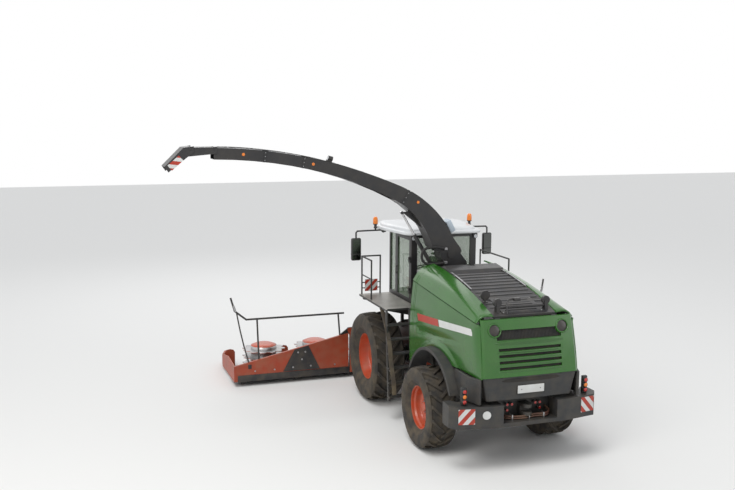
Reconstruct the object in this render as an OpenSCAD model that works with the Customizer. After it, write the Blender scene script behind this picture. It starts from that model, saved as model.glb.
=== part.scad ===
// Self-propelled forage harvester with a folding rotary maize header.
// Millimetres. The machine drives towards -Y, its left side is +X and +Z is up.
// The modules are drawn with the ground at z = 0, the centre line at x = 0 and the
// front axle at y = 0. place() then moves every piece to the middle of the outline.

/* [Wheels] */
// Distance from the front axle to the rear axle
wheelbase = 3100; // [3060:5:3140]
// Width over the tyres
machine_w = 3000; // [2960:10:3060]
// Outer diameter of a front tyre, at the tips of its lugs
front_tyre_d = 1880; // [1840:10:1900]
// Width of a front tyre
front_tyre_w = 680; // [620:10:700]
// Diameter of a front rim at the bead seat
front_rim_d = 980; // [900:10:1020]
// Outer diameter of a rear tyre, at the tips of its lugs
rear_tyre_d = 1520; // [1460:10:1530]
// Width of a rear tyre
rear_tyre_w = 560; // [500:10:580]
// Diameter of a rear rim at the bead seat
rear_rim_d = 800; // [740:10:840]
// Thickness of a tyre's wall
tyre_wall = 45; // [30:1:60]

/* [Chassis] */
// Distance of a frame rail's outer face from the centre line
rail_x = 340; // [300:5:350]
// Width of a frame rail
rail_w = 90; // [70:5:110]
// Underside of the frame rails
rail_z = 960; // [940:5:980]
// Height of a frame rail
rail_h = 220; // [180:5:240]
// Distance of a kingpin from the centre line
kingpin_x = 800; // [780:5:810]
// Radius of the tow pin's hole
tow_bore_r = 16; // [12:1:20]

/* [Cab] */
// Half width of the cab
cab_half_w = 730; // [710:5:760]
// Place of the cab's rear face
cab_rear_y = 900; // [880:5:940]
// Place of the cab's front corners
cab_front_y = -400; // [-440:5:-380]
// How far the windscreen bulges past the front corners
screen_bulge = 520; // [440:10:560]
// Underside of the cab
cab_floor_z = 2080; // [2060:5:2100]
// Underside of the roof
roof_z = 3660; // [3620:5:3680]
// Height of the roof
roof_h = 140; // [120:5:160]
// Half width of the roof at its widest
roof_half_w = 1050; // [1020:5:1070]
// Length of the roof
roof_l = 1900; // [1840:5:1950]
// Thickness of the cab's walls
cab_wall = 50; // [40:1:60]
// Distance between the door and the roof
door_top_gap = 50; // [40:5:80]
// Length of the door
door_l = 800; // [760:5:815]

/* [Bodywork] */
// Front edge of the engine hood
hood_front_y = 1640; // [1630:5:1660]
// Rear edge of the hood's top
hood_rear_y = 4480; // [4460:5:4500]
// Lower edge of the rear flap
flap_foot_y = 4730; // [4710:5:4740]
// Half width of the hood at its widest
hood_half_w = 1050; // [1030:5:1060]
// Half width of the black deck between the shoulders
deck_half_w = 560; // [540:5:570]
// Thickness of the hood's panels
hood_wall = 28; // [22:1:32]
// Lower edge of the green panels
hood_foot_z = 1690; // [1670:5:1710]
// Radius of a rear wheel arch
arch_r = 1045; // [1040:5:1060]
// Gap between neighbouring body panels
seam = 8; // [6:1:10]

/* [Spout] */
// Distance of the spout's turning axis behind the front axle
spout_y = 1420; // [1410:5:1430]
// Height of the spout's turntable
spout_z = 3060; // [3040:5:3080]
// Width of the spout
spout_w = 400; // [360:5:420]
// Height of the spout at its lower end
spout_h0 = 490; // [470:5:520]
// Height of the spout at its outer end
spout_h1 = 210; // [200:5:240]
// Thickness of the spout's plates
spout_t = 8; // [6:1:10]
// Slope of the spout where it leaves the elbow, in degrees
spout_slope = 68; // [66:0.5:70]
// Radius of the spout's tight bend
bend_r = 1920; // [1860:10:1980]
// Radius of the spout's long sweep
sweep_r = 8650; // [8400:50:8900]
// Length of each of the two end flaps
flap_l = 440; // [400:5:460]

/* [Header] */
// Distance between the header's rotors
rotor_pitch = 1250; // [1240:5:1260]
// Radius of a rotor's cutting disc
rotor_r = 595; // [570:5:600]
// Place of the rotors' axes
rotor_y = -2420; // [-2440:5:-2400]
// Rear face of the header
header_back_y = -1620; // [-1640:5:-1620]
// Reach of the snouts in front of the rotors' axes
snout_reach = 1480; // [1400:10:1520]
// Height of the wings' hinges
fold_z = 1150; // [1130:5:1170]
// Largest diameter of the lift cylinders' barrels
lift_d = 100; // [80:2:110]

/* [Hidden] */
$fn = 48;

// Clearances: seat is a fixed joint's, run is a turning shaft's, free is a moving piece's
seat = 0.3;
run = 0.3;
free = 8;

front_hub_z = front_tyre_d / 2;
rear_hub_z = rear_tyre_d / 2;
front_hub_x = machine_w / 2 - front_tyre_w / 2;
rear_hub_x = machine_w / 2 - rear_tyre_w / 2;
spindle_r = 88;

pivot_y = -120;
pivot_z = 1350;
pivot_r = 45;
feeder_half_w = 420;
feeder_front_y = header_back_y + 20;
plate_x = feeder_half_w + free;
plate_t = 30;
axle_tube_z = front_hub_z - 60;
axle_tube_r = 90;

fold_x = rotor_pitch + 25;
header_half_w = 3 * rotor_pitch + 260;
snout_tip_y = rotor_y - snout_reach;

bumper_rear_y = flap_foot_y + 30;

// Colours
green = [0.13, 0.40, 0.10];
rim_red = [0.80, 0.16, 0.05];
dark = [0.16, 0.16, 0.17];
black = [0.05, 0.05, 0.05];
white = [0.88, 0.90, 0.90];
steel = [0.45, 0.45, 0.46];
rubber = [0.10, 0.09, 0.08];
tint = [0.45, 0.60, 0.50, 0.5];
amber = [0.95, 0.45, 0.05];

// General shapes

// A bar from one point to another
module bar(a, b, r) {
    d = b - a;
    l = norm(d);
    translate(a)
        rotate([0, acos(d[2] / l), atan2(d[1], d[0])])
            cylinder(h = l, r = r);
}

// A tube of round bars through a list of points
module run_of_bars(points, r) {
    for (i = [0:len(points) - 2])
        bar(points[i], points[i + 1], r);
    for (i = [1:len(points) - 2])
        translate(points[i]) sphere(r = 1.06 * r, $fn = 24);
}

// A box given by its lowest and highest corners
module block(low, high) { translate(low) cube(high - low); }

// A YZ outline given width along X between two planes
module across(x0, x1) {
    translate([x0, 0, 0])
        rotate([90, 0, 90])
            linear_extrude(x1 - x0) children();
}

// An XZ outline given length along Y between two planes
module along(y0, y1) {
    translate([0, y1, 0])
        rotate([90, 0, 0])
            linear_extrude(y1 - y0) children();
}

// The same ring of points, listed the other way round
function turned(ring) = [for (i = [len(ring) - 1:-1:0]) ring[i]];

// A body lofted through closed rings of points, the same number in each, which run
// anticlockwise as seen along the way from the first ring to the last
module loft(rings) {
    n = len(rings[0]);
    m = len(rings);
    points = [for (ring = rings) each ring];
    sides = [for (j = [0:m - 2], i = [0:n - 1]) each let (
        a = j * n + i, b = j * n + (i + 1) % n, c = a + n, d = b + n)
        [[a, b, d], [a, d, c]]];
    ends = [[for (i = [n - 1:-1:0]) i], [for (i = [0:n - 1]) (m - 1) * n + i]];
    polyhedron(points, concat(sides, ends), convexity = 6);
}

// The same piece on both sides of the machine
module both_sides() {
    children();
    mirror([1, 0, 0]) children();
}

// Wheels

// Turns a wheel's own axis, which is Z with the outside up, to one side of the machine
module at_hub(side, x, y, z) {
    translate([side * x, y, z]) rotate([0, side * 90, 0]) children();
}

// Half outline of a tyre: share of the section height, share of the half width
tyre_curve = [[0, 0.70], [0.08, 0.70], [0.18, 0.86], [0.42, 1.0], [0.72, 1.0], [0.90, 0.93], [0.97, 0.80], [1.0, 0.40]];

function tyre_side(r0, r1, w, s) =
    [for (p = tyre_curve) [r0 + p[0] * (r1 - r0), s * p[1] * w / 2]];

function tyre_outline(r0, r1, w) = concat(
    tyre_side(r0, r1, w, 1),
    [for (i = [len(tyre_curve) - 1:-1:0]) tyre_side(r0, r1, w, -1)[i]]);

module tyre(d, w, rim_d) {
    color(rubber)
        rotate_extrude($fn = 72)
            difference() {
                polygon(tyre_outline(rim_d / 2, d / 2, w));
                polygon(tyre_outline(rim_d / 2 - 5, d / 2 - tyre_wall, w - 2 * tyre_wall));
            }
}

// A rim with its flanges, its dished disc and the hub on the axle's spindle
module rim(w, rim_d) {
    r = rim_d / 2 - seat;
    half = 0.35 * w;
    lip = 22;
    disc_h = 0.10 * w;
    hub_h = 0.24 * w;
    hub_r = spindle_r + 52;
    color(rim_red)
        rotate_extrude($fn = 72)
            polygon([
                [spindle_r + run, -70], [hub_r, -70], [hub_r, disc_h - 60], [r * 0.62, disc_h - 20],
                [r - 60, disc_h], [r - 14, disc_h - 20], [r - 14, -half - seat], [r + lip, -half - seat - 4],
                [r + lip, -half - seat], [r, -half - seat], [r, half + seat], [r + lip, half + seat],
                [r + lip, half + seat + 4], [r - 14, half + seat + 4], [r - 20, disc_h + 16],
                [r - 62, disc_h + 14], [r * 0.62, disc_h - 4], [hub_r, disc_h - 40], [hub_r, hub_h],
                [hub_r - 25, hub_h + 18], [0, hub_h + 18], [0, hub_h - 30], [spindle_r + run, hub_h - 30]]);
}

module front_rim(side) { at_hub(side, front_hub_x, 0, front_hub_z) rim(front_tyre_w, front_rim_d); }
module front_tyre(side) { at_hub(side, front_hub_x, 0, front_hub_z) tyre(front_tyre_d, front_tyre_w, front_rim_d); }
module rear_rim(side) { at_hub(side, rear_hub_x, wheelbase, rear_hub_z) rim(rear_tyre_w, rear_rim_d); }
module rear_tyre(side) { at_hub(side, rear_hub_x, wheelbase, rear_hub_z) tyre(rear_tyre_d, rear_tyre_w, rear_rim_d); }

// Chassis and axles

kingpin_r = 40;
knuckle_r = 70;
knuckle_h = 300;
yoke_t = 40;
steer_arm = 190;
steer_rod_z = rear_hub_z - 110;
steer_rod_r = 24;
steer_barrel_r = 48;

rail_front_y = 520;
bumper_front_y = 4330;
rail_rear_y = bumper_front_y - seat;
rail_top = rail_z + rail_h;
front_hoop_y = hood_front_y + 480;
rear_hoop_y = hood_rear_y - 280;
hoop_t = 60;

module chassis() {
    color(dark) difference() {
        union() {
            both_sides() {
                block([rail_x - rail_w, rail_front_y, rail_z], [rail_x, rail_rear_y, rail_top]);
                // front side plate that carries the feeder's pivot pin and the axle
                across(plate_x, plate_x + plate_t)
                    polygon([[-260, 1180], [-60, 740], [rail_front_y + 420, 860],
                             [rail_front_y + 420, rail_top], [420, 1620], [-180, 1560]]);
                block([rail_x - rail_w, rail_front_y, rail_z], [plate_x + plate_t, rail_front_y + 300, rail_top]);
                // body mounts on the rails
                for (m = [[front_hoop_y, 70], [rear_hoop_y, 200]])
                    block([rail_x - rail_w, m[0] - 10, rail_top - 60], [post_x + m[1], m[0] + hoop_t + 10, rail_top]);
            }
            for (y = [1500, 2450, rail_rear_y - 120])
                block([-rail_x, y, rail_z + 30], [rail_x, y + 120, rail_top - 30]);
            // cradle over the rear axle's pivot
            block([-rail_x, wheelbase - 90, rail_z - 40], [rail_x, wheelbase + 90, rail_z + 10]);
        }
        translate([-1000, pivot_y, pivot_z]) rotate([0, 90, 0]) cylinder(h = 2000, r = pivot_r + run);
        translate([-1000, 0, axle_tube_z]) rotate([0, 90, 0]) cylinder(h = 2000, r = axle_tube_r + seat);
        // saddle of the rear axle's pivot bearing
        translate([0, wheelbase - 200, rear_hub_z + 90]) rotate([-90, 0, 0]) cylinder(h = 400, r = 80 + seat);
    }
}

module front_axle() {
    x0 = plate_x + plate_t + seat;
    color(dark) {
        both_sides() {
            at_hub(1, x0, 0, front_hub_z) cylinder(h = 60, r = 190);
            at_hub(1, x0, 0, front_hub_z) cylinder(h = front_hub_x - x0 - 120, r = 150);
            at_hub(1, x0, 0, front_hub_z) cylinder(h = front_hub_x - x0 - 80, r = spindle_r + 40);
            at_hub(1, x0, 0, front_hub_z) cylinder(h = front_hub_x - x0 + 100, r = spindle_r);
        }
        translate([-x0 - 10, 0, axle_tube_z]) rotate([0, 90, 0]) cylinder(h = 2 * x0 + 20, r = axle_tube_r);
        // ears and pins for the lift cylinders
        both_sides() {
            for (s = [-1, 1]) across(lift_x + s * (lift_eye_w / 2 + seat + 10) - 10, lift_x + s * (lift_eye_w / 2 + seat + 10) + 10)
                polygon([[20, axle_tube_z], [85, axle_tube_z], [lift_base[0] + 50, lift_base[1]],
                         [lift_base[0] + 30, lift_base[1] - 40], [lift_base[0] - 20, lift_base[1] - 40], [lift_base[0] - 36, lift_base[1]]]);
            translate([lift_x, lift_base[0], lift_base[1]]) rotate([0, 90, 0])
                cylinder(h = lift_eye_w + 50, r = lift_pin_r, center = true);
        }
    }
}

module rear_axle() {
    color(dark) {
        difference() {
            union() {
                along(wheelbase - 95, wheelbase + 95)
                    polygon([[-670, rear_hub_z - 80], [-300, rear_hub_z - 110], [300, rear_hub_z - 110],
                             [670, rear_hub_z - 80], [670, rear_hub_z + 80], [200, rear_hub_z + 120],
                             [-200, rear_hub_z + 120], [-670, rear_hub_z + 80]]);
                both_sides() for (s = [-1, 1])
                    translate([0, 0, rear_hub_z + s * (knuckle_h / 2 + free + yoke_t / 2)]) {
                        translate([kingpin_x, wheelbase, 0]) cylinder(h = yoke_t, r = 85, center = true);
                        translate([(kingpin_x + 600) / 2, wheelbase, 0])
                            cube([kingpin_x - 600, 150, yoke_t], center = true);
                    }
                both_sides()
                    block([600, wheelbase - 75, rear_hub_z - knuckle_h / 2 - free - yoke_t],
                          [690, wheelbase + 75, rear_hub_z + knuckle_h / 2 + free + yoke_t]);
            }
            both_sides()
                translate([kingpin_x, wheelbase, 0]) cylinder(h = 2 * rear_hub_z, r = kingpin_r + run);
        }
        // steering cylinder's barrel, held behind the beam
        difference() {
            union() {
                translate([-260, wheelbase + steer_arm, steer_rod_z])
                    rotate([0, 90, 0]) cylinder(h = 520, r = steer_barrel_r);
                for (x = [-200, 160])
                    block([x, wheelbase + 60, steer_rod_z - 30], [x + 40, wheelbase + steer_arm, steer_rod_z + 30]);
            }
            translate([-300, wheelbase + steer_arm, steer_rod_z])
                rotate([0, 90, 0]) cylinder(h = 600, r = steer_rod_r + run);
        }
        // pivot bearing under the cradle
        translate([0, wheelbase - 110, rear_hub_z + 90]) rotate([-90, 0, 0]) cylinder(h = 220, r = 80);
    }
}

module steer_rod() {
    color(steel) {
        translate([-kingpin_x + 60, wheelbase + steer_arm, steer_rod_z])
            rotate([0, 90, 0]) cylinder(h = 2 * kingpin_x - 120, r = steer_rod_r);
        for (s = [-1, 1])
            translate([s * (kingpin_x - 40), wheelbase + steer_arm, steer_rod_z])
                cylinder(h = 44, r = 36, center = true);
    }
}

module knuckle(side) {
    color(dark) translate([side * kingpin_x, wheelbase, rear_hub_z]) {
        cylinder(h = knuckle_h, r = knuckle_r, center = true);
        cylinder(h = knuckle_h + 2 * (free + yoke_t), r = kingpin_r, center = true);
        at_hub(side, 0, 0, 0) cylinder(h = rear_hub_x - kingpin_x - 74, r = spindle_r + 20);
        at_hub(side, 0, 0, 0) cylinder(h = rear_hub_x - kingpin_x + 60, r = spindle_r);
        // steering arm over the rod's eye
        translate([-30, 0, -110 + 22 + free]) cube([60, steer_arm + 30, 40]);
    }
}

// Power unit

module engine_block() {
    color(steel) block([-480, 2150, rail_top + seat], [480, 3650, 2150]);
}

module chopping_unit() {
    neck_r = 250;
    color(dark) {
        difference() {
            across(-feeder_half_w, feeder_half_w)
                polygon([[0, rail_top], [300, 1130], [500, rail_top + seat], [1500, rail_top + seat], [1600, 1400],
                         [1600, 2150], [cab_rear_y + 30, 2150], [cab_rear_y + 30, 2050], [700, 1900], [0, 1700]]);
            block([-feeder_half_w + 40, -200, 1240], [feeder_half_w - 40, 350, 1560]);
        }
        translate([0, spout_y - 40, 2140]) cylinder(h = 40, r = neck_r);
        translate([0, spout_y, 2140]) cylinder(h = spout_z - 2140 - 120 - seat, r = neck_r);
    }
}

module spout_turret() {
    color(black) difference() {
        union() {
            translate([0, spout_y, spout_z - 120]) cylinder(h = 120 - run, r = 300);
            translate([0, spout_y, spout_z - 45]) cylinder(h = 45 - run, r = 335);
        }
        translate([0, spout_y, spout_z - 60]) cylinder(h = 100, r = 200);
    }
}

// Cab

platform_z = 2210;
platform_t = 40;
door_z = platform_z + platform_t + 12;
door_h = roof_z - door_top_gap - door_z;
hinge_x = cab_half_w + 22;
hinge_zs = [door_z + 180, door_z + door_h - 520];
door_rear_y = cab_rear_y - 60;
door_front_y = door_rear_y - door_l;
door_t = cab_wall;
rear_window_x = cab_half_w - 130;

// Plan of the cab, drawn in by a distance
module cab_plan(inset) {
    hw = cab_half_w - inset;
    bulge = screen_bulge;
    r = (hw * hw + bulge * bulge) / (2 * bulge);
    a = asin(hw / r);
    rear = cab_rear_y - inset;
    front = cab_front_y + inset * 0.6;
    polygon(concat(
        [[hw, rear], [-hw, rear]],
        [for (i = [0:12]) let (t = -a + i * a / 6) [r * sin(t), front - bulge + r - r * cos(t)]]));
}

module cab_shell(z0, z1, outer, inner) {
    translate([0, 0, z0]) linear_extrude(z1 - z0) difference() { cab_plan(outer); cab_plan(inner); }
}

module cab_body() {
    y_hinge = door_rear_y + seam / 2;
    color(dark) {
        difference() {
            union() {
                cab_shell(cab_floor_z, roof_z, 0, cab_wall);
                translate([0, 0, cab_floor_z]) linear_extrude(60) cab_plan(0);
            }
            // door opening on the left
            block([cab_half_w - cab_wall - 5, door_front_y - seam, door_z - seam],
                  [cab_half_w + 50, door_rear_y + seam, door_z + door_h + seam]);
            // side windows, the right one full length
            block([-cab_half_w - 50, cab_front_y + 60, 2420], [-cab_half_w + cab_wall + 5, cab_rear_y - 90, roof_z - 60]);
            block([cab_half_w - cab_wall - 5, cab_front_y + 60, 2320],
                  [cab_half_w + 50, door_front_y - 70, roof_z - 60]);
            // rear window and windscreen
            block([-rear_window_x, cab_rear_y - cab_wall - 5, 2750], [rear_window_x, cab_rear_y + 50, roof_z - 60]);
            block([-cab_half_w + 60, cab_front_y - screen_bulge - 50, 2230],
                  [cab_half_w - 60, cab_front_y + 30, roof_z - 60]);
        }
        // mounting feet on the front plates
        both_sides() block([plate_x + plate_t + seat, 150, 1480], [plate_x + plate_t + 30, 420, cab_floor_z + 20]);
        // lower halves of the door's hinges, with their pins
        for (z = hinge_zs) {
            block([cab_half_w - 2, y_hinge + 14, z], [hinge_x + 8, y_hinge + 48, z + 50]);
            translate([hinge_x, y_hinge, z]) cylinder(h = 50, r = 20);
            translate([hinge_x, y_hinge, z]) cylinder(h = 100, r = 9);
            block([hinge_x - 8, y_hinge, z], [hinge_x + 8, y_hinge + 30, z + 50]);
        }
    }
}

module cab_glass() {
    t = 8;
    in = 20;
    color(tint) {
        // windscreen, in its frame
        intersection() {
            cab_shell(2230 + seat, roof_z - 60 - seat, in, in + t);
            block([-cab_half_w + 60 + seat, cab_front_y - screen_bulge - 50, 2200],
                  [cab_half_w - 60 - seat, cab_front_y + 20, roof_z]);
        }
        block([-cab_half_w + in, cab_front_y + 60 + seat, 2420 + seat],
              [-cab_half_w + in + t, cab_rear_y - 90 - seat, roof_z - 60 - seat]);
        block([cab_half_w - in - t, cab_front_y + 60 + seat, 2320 + seat],
              [cab_half_w - in, door_front_y - 70 - seat, roof_z - 60 - seat]);
        block([-rear_window_x + seat, cab_rear_y - in - t, 2750 + seat],
              [rear_window_x - seat, cab_rear_y - in, roof_z - 60 - seat]);
    }
}

// Window opening in the door, drawn as a YZ rectangle
door_frame = 65;

module cab_door() {
    y_hinge = door_rear_y + seam / 2;
    color(dark) {
        difference() {
            block([cab_half_w - door_t, door_front_y, door_z], [cab_half_w, door_rear_y, door_z + door_h]);
            block([cab_half_w - door_t - 5, door_front_y + door_frame, door_z + door_frame],
                  [cab_half_w + 5, door_rear_y - door_frame, door_z + door_h - door_frame]);
        }
        // upper halves of the hinges
        for (z = hinge_zs) difference() {
            union() {
                translate([hinge_x, y_hinge, z + 50 + run]) cylinder(h = 60, r = 20);
                block([cab_half_w - 2, y_hinge - 60, z + 50 + run], [hinge_x + 8, y_hinge, z + 110]);
            }
            translate([hinge_x, y_hinge, z]) cylinder(h = 105, r = 9 + run);
        }
        // handle at the front edge
        block([cab_half_w - 2, door_front_y + 20, door_z + 480], [cab_half_w + 30, door_front_y + 50, door_z + 500]);
        block([cab_half_w - 2, door_front_y + 20, door_z + 620], [cab_half_w + 30, door_front_y + 50, door_z + 640]);
        block([cab_half_w + 20, door_front_y + 20, door_z + 480], [cab_half_w + 36, door_front_y + 50, door_z + 640]);
    }
}

module cab_door_glass() {
    color(tint)
        block([cab_half_w - 28, door_front_y + door_frame + seat, door_z + door_frame + seat],
              [cab_half_w - 20, door_rear_y - door_frame - seat, door_z + door_h - door_frame - seat]);
}

roof_brim = 70;

// Plan of the roof, widest over the front of the door and narrower to the rear, drawn in by a distance
module roof_plan(inset) {
    rear = cab_rear_y + 50 - inset;
    front = cab_rear_y + 50 - roof_l + inset;
    offset(r = 180) offset(delta = -180)
        polygon([for (side = [1, -1], p = side > 0
                      ? [[0.80, rear], [0.97, 0], [1, -350], [0.86, front]]
                      : [[0.86, front], [1, -350], [0.97, 0], [0.80, rear]])
                 [side * (p[0] * roof_half_w - inset), p[1]]]);
}

module cab_roof() {
    color(white) {
        translate([0, 0, roof_z + seat]) linear_extrude(roof_brim) roof_plan(0);
        translate([0, 0, roof_z + roof_brim]) linear_extrude(roof_h - roof_brim) roof_plan(90);
    }
}

module cab_interior() {
    color(black) {
        // pedestal, cushion and backrest of the seat
        z = cab_floor_z + 60 + seat;
        block([-180, 150, z], [180, 550, z + 350]);
        block([-260, 60, z + 350], [260, 600, z + 470]);
        block([-250, 520, z + 470], [250, 640, z + 1100]);
        // armrest console
        block([-420, 0, z + 480], [-270, 600, z + 600]);
        block([-420, 250, z], [-280, 450, z + 480]);
        // steering column and wheel
        block([-60, -480, z], [60, -380, z + 40]);
        bar([0, -420, z + 20], [0, -250, z + 640], 45);
        translate([0, -250, z + 640]) rotate([25, 0, 0]) cylinder(h = 30, r = 190);
    }
}

mirror_x = 1550;
mirror_y = -260;
mirror_arm_r = 18;
beacon_x = roof_half_w + 60;

module mirrors() {
    arm_z = roof_z - mirror_arm_r;
    color(black) both_sides() {
        run_of_bars([[roof_half_w - 100, mirror_y, arm_z], [mirror_x, mirror_y, arm_z - 8],
                     [mirror_x, mirror_y, roof_z - 180]], mirror_arm_r);
        block([mirror_x - 110, mirror_y - 45, 3000], [mirror_x + 110, mirror_y + 45, roof_z - 170]);
        // stand of the beacon, beside the roof
        translate([beacon_x, mirror_y, arm_z - 10]) cylinder(h = 50, r = mirror_arm_r);
    }
}

module roof_lamps() {
    color(amber) both_sides() translate([beacon_x, mirror_y, roof_z + 22 + seat]) {
        cylinder(h = 90, r = 38);
        translate([0, 0, 90]) cylinder(h = 110, r = 55);
        translate([0, 0, 200]) sphere(r = 55);
    }
}

// Platforms and ladder

// Beam under the cab's floor and a platform
module platform_beam(x0, y, x1) {
    along(y, y + 60)
        polygon([[x0, cab_floor_z - 90], [cab_half_w, cab_floor_z - 90], [x1, platform_z - 60], [x1, platform_z + 5],
                 [cab_half_w + 24, platform_z + 5], [cab_half_w + 24, cab_floor_z - seat], [x0, cab_floor_z - seat]]);
}

module left_platform() {
    x0 = plate_x + plate_t + seat;
    top = platform_z + platform_t;
    color(dark) {
        block([cab_half_w + 24, -330, platform_z], [1450, 1330, top]);
        for (y = [-240, 860]) platform_beam(x0, y, 1400);
        block([x0, -240, 1480], [x0 + 60, -180, cab_floor_z - 20]);
        block([x0, 860, 1190], [x0 + 60, 920, cab_floor_z - 20]);
        // ladder
        for (x = [920, 1420]) hull() {
            block([x, 1330, top - 100], [x + 30, 1400, top]);
            block([x, 1500, 420], [x + 30, 1570, 440]);
        }
        for (i = [0:5]) let (z = 480 + i * 290, y = 1515 - i * 27)
            block([920, y - 40, z], [1450, y + 110, z + 30]);
    }
    color(black) {
        run_of_bars([[1400, 330, top - 20], [1400, 330, 3080], [1400, -300, 3080], [1400, -300, top - 20]], 17);
        run_of_bars([[1400, -300, 3080], [980, -300, 3080], [980, -300, top - 20]], 17);
        bar([1400, 330, 2680], [1400, -300, 2680], 14);
    }
}

module right_platform() {
    x0 = plate_x + plate_t + seat;
    top = platform_z + platform_t;
    color(dark) {
        block([-1400, -240, platform_z], [-cab_half_w - 24, 1250, top]);
        mirror([1, 0, 0]) {
            for (y = [-240, 860]) platform_beam(x0, y, 1350);
            block([x0, -240, 1480], [x0 + 60, -180, cab_floor_z - 20]);
            block([x0, 860, 1190], [x0 + 60, 920, cab_floor_z - 20]);
        }
    }
    color(black) {
        run_of_bars([[-1360, -180, top - 20], [-1360, -180, 3120], [-1360, 1200, 3120], [-1360, 1200, top - 20]], 17);
        bar([-1360, -180, 2680], [-1360, 1200, 2680], 14);
    }
}

// Engine hood

crease_z0 = 2880;
crease_z1 = 2615;
crease_x0 = 985;
crease_x1 = 940;

function at(y) = (y - hood_front_y) / (hood_rear_y - hood_front_y);
function mix(a, b, t) = a + (b - a) * t;
// Heights and half widths of the deck's edge and of the crease along the hood
function deck_edge_z(y) = 3200 - 60 * at(y) - 420 * at(y) * at(y);
function deck_edge_x(y) = deck_half_w + 50 * at(y);
function crease_z(y) = mix(crease_z0, crease_z1, at(y));
function crease_x(y) = mix(crease_x0, crease_x1, at(y));
function side_x(y) = hood_half_w - 95 * pow(max(at(y), 0), 3);

// Outer curve of a shoulder panel at one station, from the crease up to the deck
function shoulder_curve(y) = let (
    x0 = deck_edge_x(y) + seam, z0 = deck_edge_z(y), x1 = crease_x(y), z1 = crease_z(y))
    [for (i = [6:-1:0]) let (t = i / 6, swell = 70 * sin(180 * t))
        [mix(x0, x1, t) + 0.55 * swell, y, mix(z0, z1, t) + 0.83 * swell]];

// The curve moved inwards by a distance: level at the crease, square to the panel higher up
function drawn_in(curve, d) =
    [for (i = [0:6]) let (t = min(1, i / 2)) curve[i] - d * [mix(1, 0.5, t), 0, mix(0, 0.87, t)]];

function shoulder_ring(y, outer, inner) =
    concat(drawn_in(shoulder_curve(y), outer), turned(drawn_in(shoulder_curve(y), inner)));

// The shoulders' stations along the hood, and a ring between two of them on the straight lines of the loft
stations = 6;
shoulder_l = hood_rear_y - 30 - hood_front_y;
function station_y(i) = hood_front_y + shoulder_l * i / stations;
function ring_between(y, outer, inner) = let (
    u = stations * (y - hood_front_y) / shoulder_l, i = floor(u),
    a = shoulder_ring(station_y(i), outer, inner), b = shoulder_ring(station_y(i + 1), outer, inner))
    [for (k = [0:len(a) - 1]) mix(a[k], b[k], u - i)];

// Hinge line of a side panel, just under the crease
bead_r = hood_wall / 2;
function side_axis(y) = [crease_x(y) - bead_r, y, crease_z(y) - seam - bead_r];
side_hinge_ys = [hood_front_y + 500, (hood_front_y + hood_rear_y) / 2, hood_rear_y - 500];
sleeve_l = 100;

// A point or a ring of points moved over to one side of the machine
function on_side(p, side) = [side * p[0], p[1], p[2]];
function ring_on_side(ring, side) = let (r = [for (p = ring) on_side(p, side)]) side > 0 ? r : turned(r);

// A round bar along a side panel's hinge line
module side_hinge_bar(y0, y1, r, side = 1) { bar(on_side(side_axis(y0), side), on_side(side_axis(y1), side), r); }

// Hinge line of the rear flap
flap_axis = [hood_rear_y - 6, 2664];
flap_hinge_x = 500;
flap_bar_r = 12;

module hood_shoulders() {
    color(green) both_sides() {
        loft([for (i = [0:stations]) shoulder_ring(station_y(i), 0, hood_wall)]);
        // sleeves round the side panels' hinge bars
        for (y = side_hinge_ys) difference() {
            side_hinge_bar(y, y + sleeve_l, bead_r + seam + 5);
            side_hinge_bar(y - 40, y + sleeve_l + 40, bead_r - 1 + run);
        }
    }
}

// Hoops under the shoulders and the deck, their posts, and the sleeves that carry the rear flap
module hood_frame() {
    color(dark) {
        for (y = [front_hoop_y, rear_hoop_y]) {
            both_sides() {
                loft([for (v = [y, y + hoop_t]) [for (p = ring_between(v, hood_wall + 6 * seat, hood_wall + 70))
                    let (in = max(0, deck_edge_x(v) + seam / 2 - p[0])) p + [in, 0, -in]]]);
                block([post_x, y, rail_top + seat], [post_x + hoop_t, y + hoop_t, shoulder_curve(y)[4][2] - 60]);
            }
            across(-deck_half_w - 90, deck_half_w + 90)
                polygon([[y, deck_under_z(y) - seat], [y + hoop_t, deck_under_z(y + hoop_t) - seat],
                         [y + hoop_t, deck_under_z(y + hoop_t) - 60], [y, deck_under_z(y + hoop_t) - 60]]);
        }
        block([-post_x - 40, rear_hoop_y, 2520], [post_x + 40, rear_hoop_y + hoop_t, 2580]);
        both_sides() difference() {
            union() {
                block([flap_hinge_x, rear_hoop_y + 5, 2520], [flap_hinge_x + sleeve_l, flap_axis[0] - 40, 2580]);
                block([flap_hinge_x, flap_axis[0] - 60, 2520], [flap_hinge_x + sleeve_l, flap_axis[0] - 10, flap_axis[1] - 4]);
                translate([flap_hinge_x, flap_axis[0], flap_axis[1]]) rotate([0, 90, 0])
                    cylinder(h = sleeve_l, r = flap_bar_r + 10);
            }
            translate([0, flap_axis[0], flap_axis[1]]) rotate([0, 90, 0]) cylinder(h = 900, r = flap_bar_r + run);
        }
    }
}
post_x = 700;
deck_t = 60;

// Ring of a side panel at one station: from the hinge line down to the lower edge
function side_ring(y) = let (
    top = side_axis(y), z1 = mix(1250, hood_foot_z, min(1, at(y) * 1.4)), x1 = side_x(y),
    outer = [for (i = [0:8]) let (t = i / 8, x0 = top[0] + bead_r)
        [x0 + (x1 - x0) * sin(min(90, 150 * t)) - 40 * pow(max(0, t - 0.6), 2), y, mix(top[2], z1, t)]],
    inner = [for (p = outer) p - [hood_wall, 0, 0]])
    concat(turned(outer), inner);

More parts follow.
